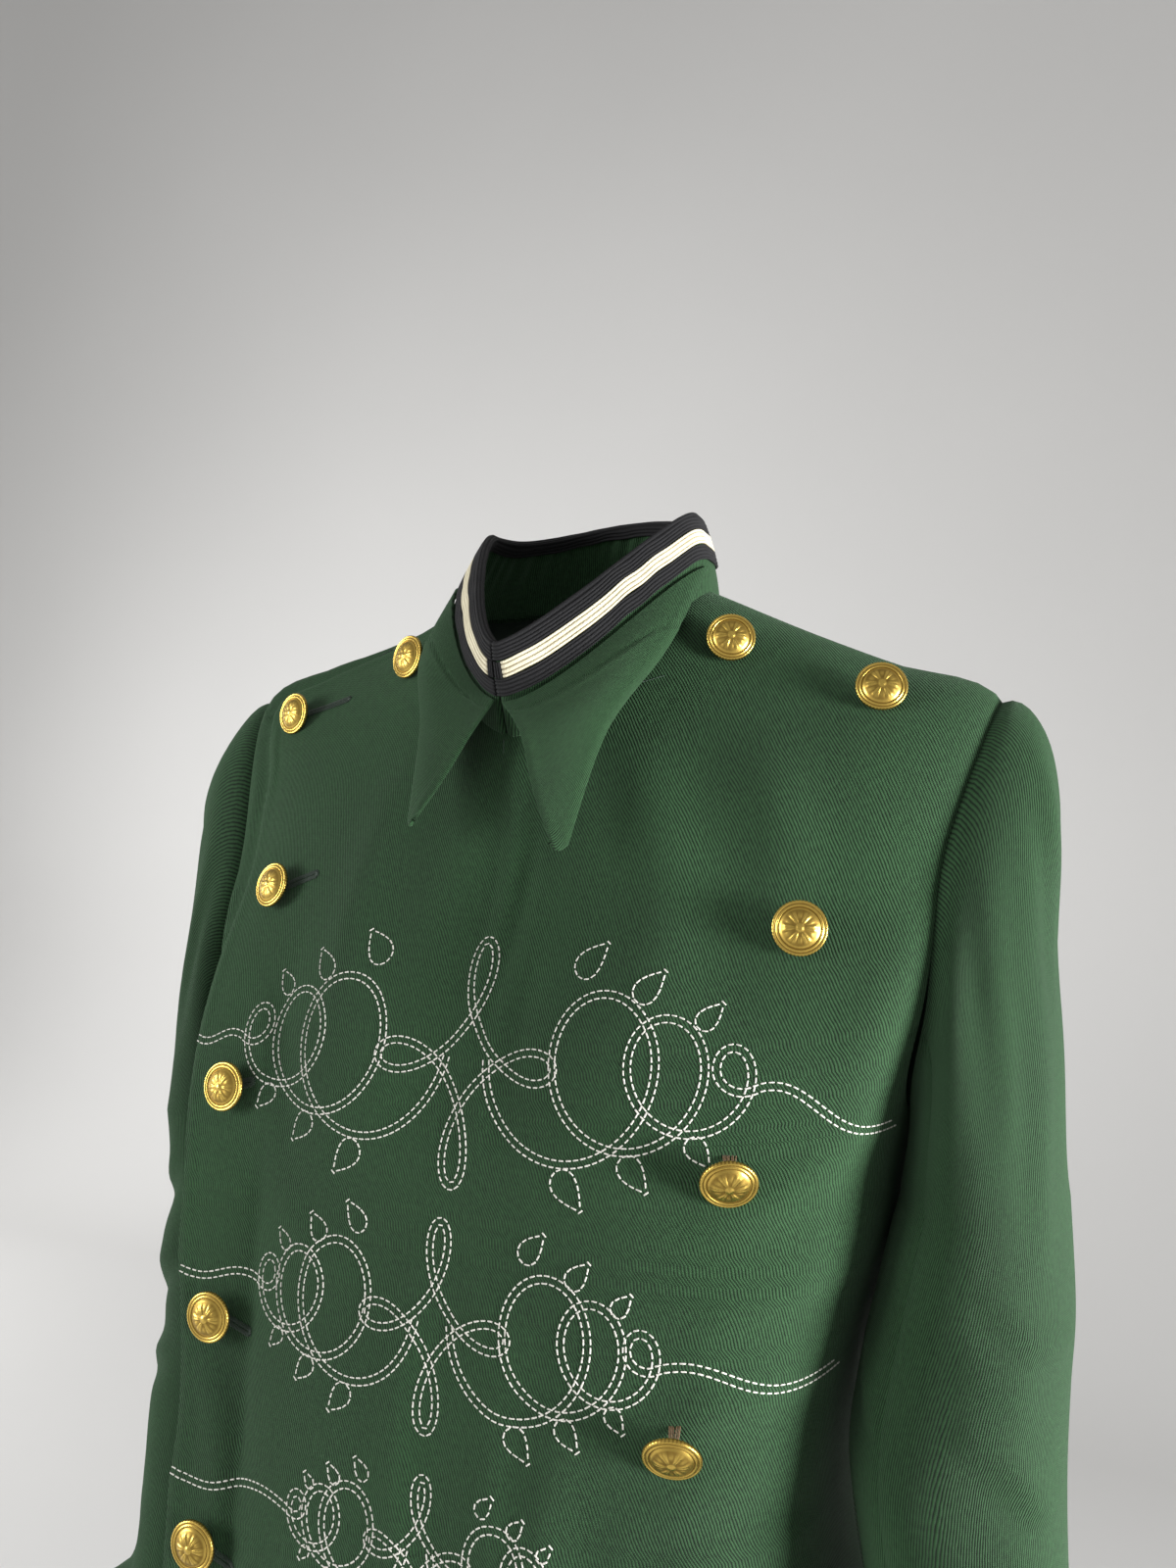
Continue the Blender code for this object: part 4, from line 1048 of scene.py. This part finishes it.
def ribbedStrip(name, node, path, ribs, material, fromEnd):
    # A braid of round cords side by side, laid along a path of (height, lift, out share, up share).
    turns, marks = collarRun(fromEnd, 0.0018)
    count = ribs * collar["ribSamples"] + 1
    line = catmull(np.array(path), np.linspace(0, len(path) - 1, count))
    cell = np.linspace(0, ribs, count)
    height = line[:, 0][:, None] + 0 * marks[None, :]
    height = height + gentle(marks, 11, 46, 0.012)[None, :] * (height < 0.98)
    turnGrid = turns[None, :] + 0 * height
    normal = collarNormal(height, turnGrid)
    rise = unit(collarPoint(1.0, turnGrid) - collarPoint(0.6, turnGrid))
    outShare, upShare = line[:, 2][:, None, None], line[:, 3][:, None, None]
    way = unit(normal * outShare + rise * upShare)
    base = collarPoint(height, turnGrid) + normal * line[:, 1][:, None, None]
    swell = 1 + gentle(marks, 12, 60, 0.10)[None, :, None]
    thick = ribCrest(cell)[:, None, None] * collar["braid"] * swell
    weave = np.stack([marks[None, :] + 0 * height, cell[:, None] + 0 * height], -1)
    piece = clothMesh(name, base + way * thick, base, weave, [material])
    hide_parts(node)
    return piece


lift = collar["braidLift"]
under = -collar["wall"] - lift
overTop = 1.0 + 0.0004 / collar["rise"]
upperPath = [(height, lift, 1.0, 0.0) for height in (0.815, 0.86, 0.91)] + [
    (0.96, lift, 1.0, 0.05), (overTop, lift * 0.6, 0.7, 0.7), (overTop, -collar["wall"] * 0.5, 0.0, 1.0),
    (overTop, under * 0.9, -0.7, 0.7), (0.96, under, -1.0, 0.05),
] + [(height, under, -1.0, 0.0) for height in (0.91, 0.86)]
ivoryPath = [(height, lift, 1.0, 0.0) for height in collar["ivory"]]
lowerPath = [(height, lift, 1.0, 0.0) for height in collar["lower"]]
stand = addStand()
braidUpper = ribbedStrip("braidBlackUpper", "braid_black_upper", upperPath, 11, blackBraid, 0.0)
braidIvory = ribbedStrip("braidIvory", "braid_ivory", ivoryPath, 4, ivoryBraid, collar["braidEnd"])
braidLower = ribbedStrip("braidBlackLower", "braid_black_lower", lowerPath, 5, blackBraid, 0.0)


def addBraidEnd(name, node, first, toward):
    # The short upright piece of black braid that closes the ivory one at the front.
    ribs = 3
    across = np.linspace(0.0, 1.0, ribs * collar["ribSamples"] + 1)
    heightGrid, turnGrid = np.meshgrid(
        np.linspace(*collar["ivory"], 15), first + (toward - first) * across * 0.94, indexing="ij")
    normal = collarNormal(heightGrid, turnGrid)
    base = collarPoint(heightGrid, turnGrid) + normal * lift
    thick = (ribCrest(across * ribs) * collar["braid"])[None, :, None]
    weave = np.stack([heightGrid * collar["rise"], (across * ribs)[None, :] + 0 * heightGrid], -1)
    piece = clothMesh(name, base + normal * thick, base, weave, [blackBraid])
    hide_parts(node)
    return piece


innerTurns, _ = collarRun(collar["braidEnd"], 0.0016)
braidEnds = [
    addBraidEnd("braidEndRight", "braid_end_right", startTurn, innerTurns[0]),
    addBraidEnd("braidEndLeft", "braid_end_left", endTurn, innerTurns[-1]),
]

# Each flap line: x, y, z of its points, from the stand down to the tip.
flapForm = {
    "front": [(0.0050, -0.0805, -0.0660), (0.0130, -0.0850, -0.0830),
              (0.0240, -0.0905, -0.1090), (0.0360, -0.0945, -0.1335)],
    "back": [(0.0790, -0.0060, 0.0050), (0.0685, -0.0450, -0.0360),
             (0.0500, -0.0715, -0.0780), (0.0420, -0.0930, -0.1335)],
    "thickness": 0.0018,
    "length": 0.115,
    "seam": 0.12,
    "seamRise": 0.14,
    "seamDepth": 0.00060,
    "seamSwell": 0.00040,
    "edgeRidge": 0.00035,
    "rows": 66,
    "columns": 62,
}


def addFlap(name, node, sign, curl, short, material):
    rows = np.linspace(0.012, 0.988, flapForm["rows"])
    rows = np.concatenate([[0.0, 0.002, 0.006], rows, [0.994, 0.998, 1.0]])
    columns = np.linspace(0.018, 0.982, flapForm["columns"])
    columns = np.concatenate([[0.0, 0.003, 0.008], columns, [0.992, 0.997, 1.0]])
    first = collar["openTurn"] - 2.5 if sign > 0 else 180.0 - collar["openTurn"] - 2.5
    turns = first + (7.0 - first) * columns
    places = turns if sign > 0 else 180.0 - turns
    hang = collarPoint(0.335 - 0.02 * columns, places) + collarNormal(0.33 + 0 * places, places) * 0.0008
    hang = hang * np.array([sign, 1.0, 1.0])
    frontLine = np.array([hang[0]] + flapForm["front"][1:])
    backLine = np.array([hang[-1]] + flapForm["back"][1:])
    wide = np.linalg.norm(hang[-1] - hang[0])
    s = rows[:, None, None]
    t = columns[None, :, None]
    front = catmull(frontLine, rows * 3)[:, None, :]
    back = catmull(backLine, rows * 3)[:, None, :]
    scale = np.linalg.norm(back - front, axis=-1, keepdims=True) / wide
    bulge = hang - (hang[0] + (hang[-1] - hang[0]) * columns[:, None])
    grid = front + (back - front) * t + bulge[None] * scale * (1 - 0.35 * s)
    roundTip = np.maximum(0.0, s - 0.72) / 0.28
    grid = grid + np.array([0.0, -0.0004, -0.0030]) * np.sin(np.pi * t) * roundTip ** 2
    grid = grid + np.array([0.0, -1.0, 0.25]) * curl * s * s * (1 - t)
    grid = grid + np.array([0.0, 0.003, 0.0100]) * short * s * s
    normal = gridNormal(grid)
    normal = np.where(normal[..., 1:2] < 0, normal, -normal)
    edge = edgeDistance(grid, ("last", "start", "end"))
    seamRow = flapForm["seam"] + flapForm["seamRise"] * columns
    fromSeam = (rows[:, None] - seamRow) * flapForm["length"]
    ridge = flapForm["edgeRidge"] * bell(edge - 0.003, 0.0022)
    ridge -= flapForm["seamDepth"] * bell(fromSeam, 0.0009)
    ridge += flapForm["seamSwell"] * bell(fromSeam - 0.0024, 0.0018)
    top = grid + normal * (flapForm["thickness"] + ridge)[..., None]
    pinch = (shell["edgeRound"] * flapForm["thickness"] * turnedShare(edge))[..., None]
    u = lengthsAlong(grid)
    u -= u[:, -1:] * 0.5
    v = lengthsAlong(grid[:, len(columns) // 2])
    weave = np.stack([u, -v[:, None] + 0 * u], -1)
    mirror = np.array([sign, 1.0, 1.0])
    outer, inner = (top - normal * pinch) * mirror, (grid + normal * pinch) * mirror
    piece = clothMesh(name, outer, inner, weave, [material, woolBand])
    for k, polygon in enumerate(piece.data.polygons):
        row, column = divmod(k, len(columns) - 1)
        aboveSeam = row < len(rows) - 1 and rows[row + 1] < seamRow[column]
        polygon.material_index = int(aboveSeam)
    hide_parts(node)
    return piece


flapLeft = addFlap("clothFlapLeft", "collar_flap_left", 1, 0.0035, 0.0, woolFlapLeft)
flapRight = addFlap("clothFlapRight", "collar_flap_right", -1, 0.004, 1.0, woolFlapRight)
print("collar made")

# Buttons: gilt brass with a milled edge and a plain leaf rosette.
button = {
    "segments": 96,
    "teeth": 48,
    "toothDepth": 0.00022,
    "leaves": 6,
    "leafHeight": 0.00042,
    "reach": 0.0097,
    "rim": 0.0108,
    "face": 0.0083,
}
# Each ring of the button: radius, height above the cloth, how much darker its colour is made.
buttonRings = [
    (0.0000, 0.0034, 0.6), (0.0012, 0.0034, 0.6), (0.0012, 0.0044, 0.7), (0.0040, 0.0046, 0.7),
    (0.0085, 0.0049, 0.6), (0.0108, 0.0051, 0.5), (0.0114, 0.0053, 0.3), (0.0117, 0.0056, 0.2),
    (0.0117, 0.0061, 0.2), (0.0117, 0.0066, 0.2), (0.0115, 0.0070, 0.1), (0.0111, 0.0072, 0.0),
    (0.0107, 0.0072, 0.1), (0.0104, 0.0070, 0.6), (0.0102, 0.0069, 0.9), (0.0100, 0.0070, 0.6),
    (0.0097, 0.0074, 0.1), (0.0094, 0.0075, 0.0), (0.0091, 0.0074, 0.2), (0.0089, 0.0071, 0.8),
    (0.0087, 0.0071, 0.9), (0.0084, 0.0074, 0.4), (0.0079, 0.0078, 0.2), (0.0072, 0.0082, 0.1),
    (0.0064, 0.00855, 0.1), (0.0056, 0.0088, 0.1), (0.0048, 0.0090, 0.1), (0.0040, 0.0092, 0.1),
    (0.0032, 0.00935, 0.1), (0.0024, 0.0095, 0.1), (0.0016, 0.0096, 0.1), (0.0008, 0.0097, 0.1),
    (0.0000, 0.0097, 0.1),
]


def buttonShape():
    # Points and dark marks of one button about its own axis.
    angle = 2 * math.pi * np.arange(button["segments"]) / button["segments"]
    rings = np.array(buttonRings)
    fine = []
    for k in range(len(rings) - 1):
        parts = 2 if rings[k, 0] <= 0.0088 and k > 18 else 1
        fine += [rings[k] + (rings[k + 1] - rings[k]) * part / parts for part in range(parts)]
    rings = np.array(fine + [rings[-1]])
    radius, height, dark = (rings[:, k][:, None] + 0 * angle for k in range(3))
    edge = (rings[:, 0] > 0.0113) & (rings[:, 1] < 0.0071)
    teeth = 0.5 + 0.5 * np.cos(angle * button["teeth"])
    radius = radius - edge[:, None] * button["toothDepth"] * (1 - teeth)
    dark = dark + edge[:, None] * 0.7 * (1 - teeth)
    topSide = (np.arange(len(rings)) > 20)[:, None]
    r = radius / button["face"]
    leafAngle = np.cos(angle * button["leaves"])
    leaf = smooth((leafAngle[None, :] + 0.25) / 0.9) * bell(r - 0.56, 0.27, 4)
    vein = np.exp(-((1 - leafAngle[None, :]) / 0.012)) * leaf
    between = smooth((-leafAngle[None, :] - 0.35) / 0.5) * bell(r - 0.62, 0.14)
    raised = (0.95 * leaf - 0.45 * vein + 0.55 * between + bell(r, 0.17, 4)) * (r < 0.98)
    height = height + topSide * button["leafHeight"] * raised
    # Darker colour wherever the face is not raised, as in the hollows between the leaves and in the grooves.
    unraisedDark = np.clip(0.85 - 1.1 * raised, 0, 1) * smooth((0.98 - r) / 0.1)
    dark = np.where(topSide & (r < 0.98), 0.12 + 0.75 * unraisedDark * (r > 0.2) + 0.25 * vein, dark)
    points = np.stack([radius * np.cos(angle), radius * np.sin(angle), height], -1)
    return points, np.clip(dark, 0, 1)


buttonPoints, buttonDark = buttonShape()


def buttonAxis(node):
    # Foot and axis of a button, from its solid.
    points = np.array([vertex.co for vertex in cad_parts[node].data.vertices])
    points = np.unique(points.round(7), axis=0)
    away = np.linalg.norm(points - points.mean(0), axis=1)
    rim = points[away > button["rim"]]
    centre = rim.mean(0)
    axis = np.linalg.svd(rim - centre)[2][2]
    reach = (points - centre) @ axis
    if reach.max() > -reach.min():
        axis = -axis
        reach = -reach
    return centre + axis * (reach.max() - button["reach"]), axis


def addButton(node):
    foot, axis = buttonAxis(node)
    side = unit(np.cross(np.array([0.0, 0.0, 1.0]), axis))
    placed = buttonPoints @ np.stack([side, np.cross(axis, side), axis]) + foot
    rings, steps = placed.shape[:2]
    index = np.arange(rings * steps).reshape(rings, steps) - steps
    after = np.roll(index, -1, axis=1)
    faces = np.stack([index[:-1], after[:-1], after[1:], index[1:]], -1)[1:-1].reshape(-1, 4).tolist()
    keep = placed.reshape(-1, 3)[steps:-steps]
    bottom, top = len(keep), len(keep) + 1
    for k in range(steps):
        nxt = (k + 1) % steps
        faces.append([bottom, nxt, k])
        faces.append([top, (rings - 3) * steps + k, (rings - 3) * steps + nxt])
    name = "brass" + "".join(word.capitalize() for word in node.split("_"))
    points = np.concatenate([keep, [placed[0, 0]], [placed[-1, 0]]])
    piece = newPiece(name, points.tolist(), faces, [brassGilt])
    dark = np.concatenate([buttonDark.reshape(-1)[steps:-steps], [buttonDark[0, 0]], [buttonDark[-1, 0]]])
    mark = piece.data.attributes.new("recess", "FLOAT", "POINT")
    mark.data.foreach_set("value", dark.astype(np.float32))
    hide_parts(node)
    return piece, foot, axis


buttonNodes = sorted(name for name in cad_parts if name.startswith("button_"))
brassButtons = []
buttonFeet = {}
for node in buttonNodes:
    piece, foot, axis = addButton(node)
    brassButtons.append(piece)
    buttonFeet[node] = (foot, axis)
print("buttons made:", len(brassButtons))


# Thread: a node tree lays one rounded stitch after another along sewn lines.
def stitchTree():
    n, given, result = newTree(
        "sewnStitches", "GeometryNodeTree",
        [("Geometry", "Geometry"), ("Pitch", "Float"), ("Length", "Float"), ("Width", "Float"),
         ("Across", "Bool"), ("Thread", "Material")],
        [("Geometry", "Geometry")])
    curve = n.add("GeometryNodeMeshToCurve", 0, {0: given["Geometry"]})
    spaced = n.add("GeometryNodeResampleCurve", 0, {"Curve": curve, "Length": given["Pitch"]}, mode="LENGTH")
    half = n.math("MULTIPLY", given["Width"], 0.5)
    grain = n.add("GeometryNodeMeshUVSphere", 0, {"Segments": 8, "Rings": 6, "Radius": half})
    up = n.add("ShaderNodeSeparateXYZ", 2, {0: n.add("GeometryNodeInputPosition")})
    spare = n.math("SUBTRACT", given["Length"], given["Width"])
    slide = n.math("MULTIPLY", n.math("MULTIPLY", n.math("SIGN", up), spare), 0.5)
    offset = n.add("ShaderNodeCombineXYZ", 0, {2: slide})
    drawn = n.add("GeometryNodeSetPosition", 0, {"Geometry": grain, "Offset": offset})
    out = n.add("GeometryNodeInputNamedAttribute", 0, {"Name": "out"}, data_type="FLOAT_VECTOR")
    tangent = n.add("GeometryNodeInputTangent")
    beside = n.add("ShaderNodeVectorMath", 0, {0: tangent, 1: out}, operation="CROSS_PRODUCT")
    chosen = n.add("GeometryNodeSwitch", 0, {0: given["Across"], 1: tangent, 2: beside}, input_type="VECTOR")
    aim = n.add("FunctionNodeAxesToRotation", 0, {0: chosen, 1: out}, primary_axis="Z", secondary_axis="X")
    varied = n.add("FunctionNodeRandomValue", 0, {0: (0.72, 0.92, 0.86), 1: (0.86, 1.10, 1.06)},
                   data_type="FLOAT_VECTOR")
    placed = n.add("GeometryNodeInstanceOnPoints", 0,
                   {"Points": spaced, "Instance": drawn, "Rotation": aim, "Scale": varied})
    real = n.add("GeometryNodeRealizeInstances", 0, {0: placed})
    dressed = n.add("GeometryNodeSetMaterial", 0, {"Geometry": real, "Material": given["Thread"]})
    n.put(result["Geometry"], dressed)
    return n.tree


stitches = stitchTree()


def sewLines(name, lines, thread, kind, across=False):
    # Lines are (points, outward normals, closed); the result is one mesh of separate stitches.
    points, outs, edges = [], [], []
    for line, out, closed in lines:
        first = len(points)
        points += [tuple(point) for point in line]
        outs += [tuple(normal) for normal in out]
        edges += [(first + k, first + k + 1) for k in range(len(line) - 1)]
        if closed:
            edges.append((first + len(line) - 1, first))
    piece = newPiece(name, points, [], edges=edges)
    mark = piece.data.attributes.new("out", "FLOAT_VECTOR", "POINT")
    mark.data.foreach_set("vector", np.array(outs, np.float32).ravel())
    modifier = piece.modifiers.new("stitches", "NODES")
    modifier.node_group = stitches
    values = {"Pitch": kind["pitch"], "Length": kind["length"], "Width": kind["width"],
              "Across": across, "Thread": thread}
    for socket in stitches.interface.items_tree:
        if socket.in_out == "INPUT" and socket.name in values:
            modifier[socket.identifier] = values[socket.name]
    ready = piece.evaluated_get(bpy.context.evaluated_depsgraph_get())
    made = bpy.data.meshes.new_from_object(ready)
    piece.modifiers.clear()
    piece.data = made
    made.polygons.foreach_set("use_smooth", np.ones(len(made.polygons), bool))
    return piece


# The stitched ornament: a looped square between two runs of shrinking coils, in three rows.
frontTree = BVHTree.FromPolygons([vertex.co for vertex in frontLeft.data.vertices],
                                 [tuple(polygon.vertices) for polygon in frontLeft.data.polygons])
ornament = {
    "pitch": 0.0033,
    "length": 0.0025,
    "width": 0.00072,
    "gap": 0.0030,
    "step": 0.0011,
    "lift": 0.00012,
}
# Each row: name, middle x and z, half span, half height, and where the plain line of each side stops.
ornamentRows = [
    {"name": "threadOrnamentUpper", "middle": (0.000, -0.2290), "span": 0.132, "height": 0.0520,
     "ends": [(0.1750, -0.2455), (-0.1600, -0.2335)]},
    {"name": "threadOrnamentMiddle", "middle": (-0.003, -0.3380), "span": 0.102, "height": 0.0420,
     "ends": [(0.1530, -0.3450), (-0.1485, -0.3400)]},
    {"name": "threadOrnamentLower", "middle": (-0.002, -0.4270), "span": 0.070, "height": 0.0290,
     "ends": [(0.1330, -0.4360), (-0.1430, -0.4300)]},
]
coil = {"turns": 3, "points": 170, "tall": 1.12}


def evenLine(line, step, closed):
    line = np.array(line)
    if closed:
        line = np.concatenate([line, line[:1]])
    run = lengthsAlong(line)
    count = max(4, int(run[-1] / step))
    marks = np.linspace(0.0, run[-1], count + 1)
    if closed:
        marks = marks[:-1]
    return np.stack([np.interp(marks, run, line[:, k]) for k in range(2)], -1)


def besideLine(line, away, closed):
    ahead = np.roll(line, -1, axis=0) - np.roll(line, 1, axis=0)
    if not closed:
        ahead[0] = line[1] - line[0]
        ahead[-1] = line[-1] - line[-2]
    ahead = unit(ahead)
    return line + away * np.stack([ahead[:, 1], -ahead[:, 0]], -1)


def layOnFront(line, lift):
    points, outs = [], []
    for x, z in line:
        hit, normal, _, _ = frontTree.ray_cast(Vector((x, -0.6, z)), Vector((0.0, 1.0, 0.0)))
        if hit is None or hit.y > 0.02:
            continue
        if normal.y > 0:
            normal = -normal
        points.append(np.array(hit + normal * lift))
        outs.append(np.array(normal))
    return points, outs


def knotLine(x, z, size):
    # Four loops on a square, as one closed line.
    t = np.linspace(0.0, 2 * math.pi, 361)[:-1]
    loop = 0.62
    across = np.cos(t) + loop * np.cos(3 * t)
    up = np.sin(t) - loop * np.sin(3 * t)
    return np.stack([x + size * 0.86 * across / (1 + loop), z + size * up / (1 + loop)], -1)


def coilPlace(row, t):
    # Distance of the coil's middle from the knot, and its radius, at a share of its length.
    start = 0.86 * row["height"]
    reach = row["span"] - start
    return start + reach * t, 0.66 * row["height"] * (1 - t) ** 0.75 + 0.10 * row["height"] * t


def coilLine(row, side):
    # Overlapping loops that shrink outward and run into the plain line.
    x0, z0 = row["middle"]
    t = np.linspace(0.0, 1.0, coil["points"] * coil["turns"])
    along, radius = coilPlace(row, t)
    angle = 2 * math.pi * (coil["turns"] + 0.25) * t + math.pi
    fade = smooth((1 - t) / 0.10)
    x = along + radius * np.cos(angle) * fade
    z = z0 + radius * coil["tall"] * np.sin(angle) * fade
    end = row["ends"][0] if side > 0 else row["ends"][1]
    tail = np.linspace(0.0, 1.0, 40)[1:]
    lastX, lastZ = x0 + side * x[-1], z[-1]
    dx, dz = end[0] - lastX, end[1] - lastZ
    tailX = lastX + dx * tail
    tailZ = lastZ + dz * smooth(tail) + 0.04 * abs(dx) * np.sin(2 * math.pi * tail)
    return np.concatenate([np.stack([x0 + side * x, z], -1), np.stack([tailX, tailZ], -1)])


def dropLine(x, z, size, lean):
    # A small teardrop, closed.
    t = np.linspace(0.0, 2 * math.pi, 61)[:-1]
    wide = 0.42 * size * np.sin(t) * np.sin(t / 2) ** 1.2
    long = 0.5 * size * np.cos(t)
    c, s = math.cos(lean), math.sin(lean)
    return np.stack([x + wide * c + long * s, z - wide * s + long * c], -1)


def ornamentLines(row):
    x, z = row["middle"]
    high = row["height"]
    lines = [(knotLine(x, z, high), True)]
    for side in (-1, 1):
        lines.append((coilLine(row, side), False))
        for t, size in ((0.13, 0.36), (0.45, 0.32), (0.74, 0.26)):
            along, radius = coilPlace(row, t)
            place = x + side * along
            above = radius * coil["tall"] + 0.62 * size * high
            lines.append((dropLine(place, z + above, high * size, side * 0.7), True))
            lines.append((dropLine(place, z - above, high * size, math.pi - side * 0.7), True))
    return lines


def addOrnament(row):
    sewn = []
    for line, closed in ornamentLines(row):
        even = evenLine(line, ornament["step"], closed)
        small = closed and len(even) * ornament["step"] < 0.07
        for away in ((0.0,) if small else (-ornament["gap"] / 2, ornament["gap"] / 2)):
            points, outs = layOnFront(besideLine(even, away, closed), ornament["lift"])
            if len(points) > 3:
                sewn.append((points, outs, closed))
    return sewLines(row["name"], sewn, creamThread, ornament)


ornaments = [addOrnament(row) for row in ornamentRows]
print("ornament sewn:", [len(piece.data.polygons) for piece in ornaments])

# Worked buttonholes beside the buttons of the lap, and the thread that holds the loose ones.
# Each buttonhole: button, then the far end of its slot as x, y, z.
buttonholes = [
    ("button_shoulder_outer_right", (-0.1265, -0.030, -0.0520)),
    ("button_shoulder_inner_right", (-0.1210, -0.003, -0.0183)),
    ("button_chest_1_right", (-0.1108, -0.071, -0.1492)),
    ("button_chest_2_right", (-0.1185, -0.101, -0.2499)),
    ("button_chest_3_right", (-0.1090, -0.107, -0.3627)),
    ("button_chest_4_right", (-0.1060, -0.112, -0.4640)),
]
slot = {"half": 0.0013, "lift": 0.00022, "pitch": 0.00072, "length": 0.0024, "width": 0.00062}


def nearFront(place, axis):
    # The nearest point of the left front, and its normal on the button's side.
    hit, normal, _, _ = frontTree.find_nearest(Vector(place))
    return hit, -normal if normal.dot(Vector(axis)) < 0 else normal


def addButtonholes():
    lines = []
    for node, end in buttonholes:
        foot, axis = buttonFeet[node]
        end = np.array(end)
        away = unit(end - foot)
        start = foot - away * 0.004
        ring = [start + (end - start) * k / 24 for k in range(25)]
        beside = unit(np.cross(away, axis))
        upper = [point + beside * slot["half"] for point in ring]
        lower = [point - beside * slot["half"] for point in ring[::-1]]
        turn = np.linspace(0.0, math.pi, 9)[1:-1]
        rounds = [beside * slot["half"] * math.cos(a) + away * slot["half"] * math.sin(a) for a in turn]
        cap = [end + step for step in rounds]
        tail = [start - step for step in rounds]
        points, outs = [], []
        for point in upper + cap + lower + tail:
            hit, normal = nearFront(Vector(point) + Vector(axis) * 0.002, axis)
            points.append(np.array(hit + normal * slot["lift"]))
            outs.append(np.array(normal))
        lines.append((points, outs, True))
    return sewLines("threadButtonholes", lines, greenThread, slot, True)


def tube(path, radius, sides=8):
    path = np.array(path)
    ahead = unit(np.gradient(path, axis=0))
    side = unit(np.cross(ahead, np.array([0.31, 0.42, 0.85])))
    up = np.cross(ahead, side)
    angle = 2 * math.pi * np.arange(sides) / sides
    ring = side[:, None, :] * np.cos(angle)[None, :, None] + up[:, None, :] * np.sin(angle)[None, :, None]
    points = path[:, None, :] + ring * radius
    index = np.arange(len(path) * sides).reshape(len(path), sides)
    after = np.roll(index, -1, axis=1)
    faces = np.stack([index[:-1], index[1:], after[1:], after[:-1]], -1).reshape(-1, 4).tolist()
    faces.append(index[0].tolist())
    faces.append(index[-1][::-1].tolist())
    return points.reshape(-1, 3), faces


def addTubes(name, paths, radius, material):
    points, faces = [], []
    for path in paths:
        made, sides = tube(path, radius)
        faces += [[a + len(points) for a in face] for face in sides]
        points += made.tolist()
    return newPiece(name, points, faces, [material])


shank = {
    "buttons": ("button_chest_2_left", "button_chest_3_left"),
    "strands": 7,
    "apart": 0.0005,
    "radius": 0.00030,
}


def addShanks():
    # Strands from the cloth over each loose button's foot to the back of its disc.
    paths = []
    shift = np.random.default_rng(21)
    for node in shank["buttons"]:
        foot, axis = buttonFeet[node]
        up = unit(np.array([0.0, 0.0, 1.0]) - axis * axis[2])
        side = np.cross(up, axis)
        for k in range(shank["strands"]):
            spread = (k - 3) * shank["apart"]
            low = foot + up * 0.0078 + side * (spread * 1.8 + shift.uniform(-0.0003, 0.0003))
            begin = np.array(nearFront(low, axis)[0]) - axis * 0.0004
            end = foot + up * 0.0012 + side * spread + axis * 0.0036
            middle = (begin + end) / 2 + axis * 0.0014 + side * shift.uniform(-0.0004, 0.0004)
            t = np.linspace(0.0, 1.0, 9)[:, None]
            paths.append((1 - t) ** 2 * begin + 2 * t * (1 - t) * middle + t * t * end)
    return addTubes("threadShanks", paths, shank["radius"], brownThread)


# The short dark seam beside the left flap, and the bits of hook thread under the collar's opening.
seamLines = [
    ((0.0465, -0.0580), (0.0660, -0.0512)),
    ((-0.0056, -0.0835), (-0.0053, -0.0885)),
]
seamStitch = {"lift": 0.00005, "pitch": 0.0015, "length": 0.0016, "width": 0.00050}


def addSeamThread():
    lines = []
    for first, second in seamLines:
        flat = np.array(first) + (np.array(second) - np.array(first)) * np.linspace(0.0, 1.0, 16)[:, None]
        points, outs = layOnFront(flat, seamStitch["lift"])
        if len(points) > 3:
            lines.append((points, outs, False))
    return sewLines("threadSeam", lines, greenThread, seamStitch)


threadHoles = addButtonholes()
threadSeam = addSeamThread()
threadShanks = addShanks()
print("thread work made")

# What every piece is, and the size of what is dressed.
finishes = {
    "wool": [frontLeft, frontRight, backPanel, *sleevePieces, stand, flapLeft, flapRight],
    "black_braid": [braidUpper, braidLower, *braidEnds],
    "ivory_braid": [braidIvory],
    "brass": brassButtons,
}
for finish, pieces in finishes.items():
    for piece in pieces:
        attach(piece, "root")
for piece in (*ornaments, threadHoles, threadSeam, threadShanks):
    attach(piece, "root")

# Each sheet: piece, width and length of its cut, flat area, how it is held, what it rests on.
cuts = [
    (frontLeft, (0.440, 0.620), 0.206, "hung", []),
    (frontRight, (0.370, 0.620), 0.170, "hung", []),
    (backPanel, (0.470, 0.620), 0.236, "hung", []),
    (sleevePieces[0], (0.240, 0.610), 0.102, "hung", []),
    (sleevePieces[1], (0.135, 0.460), 0.043, "hung", []),
    (sleevePieces[2], (0.245, 0.610), 0.106, "hung", []),
    (sleevePieces[3], (0.135, 0.460), 0.044, "hung", []),
    (stand, (0.460, 0.043), 0.0190, "stretched", []),
    (flapLeft, (0.105, 0.125), 0.0048, "laid", ["front_left"]),
    (flapRight, (0.105, 0.125), 0.0044, "laid", ["front_left"]),
]
for piece, flat, area, held, restsOn in cuts:
    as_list(restsOn)
    print("cloth area", piece.name, round(clothArea(piece), 4))
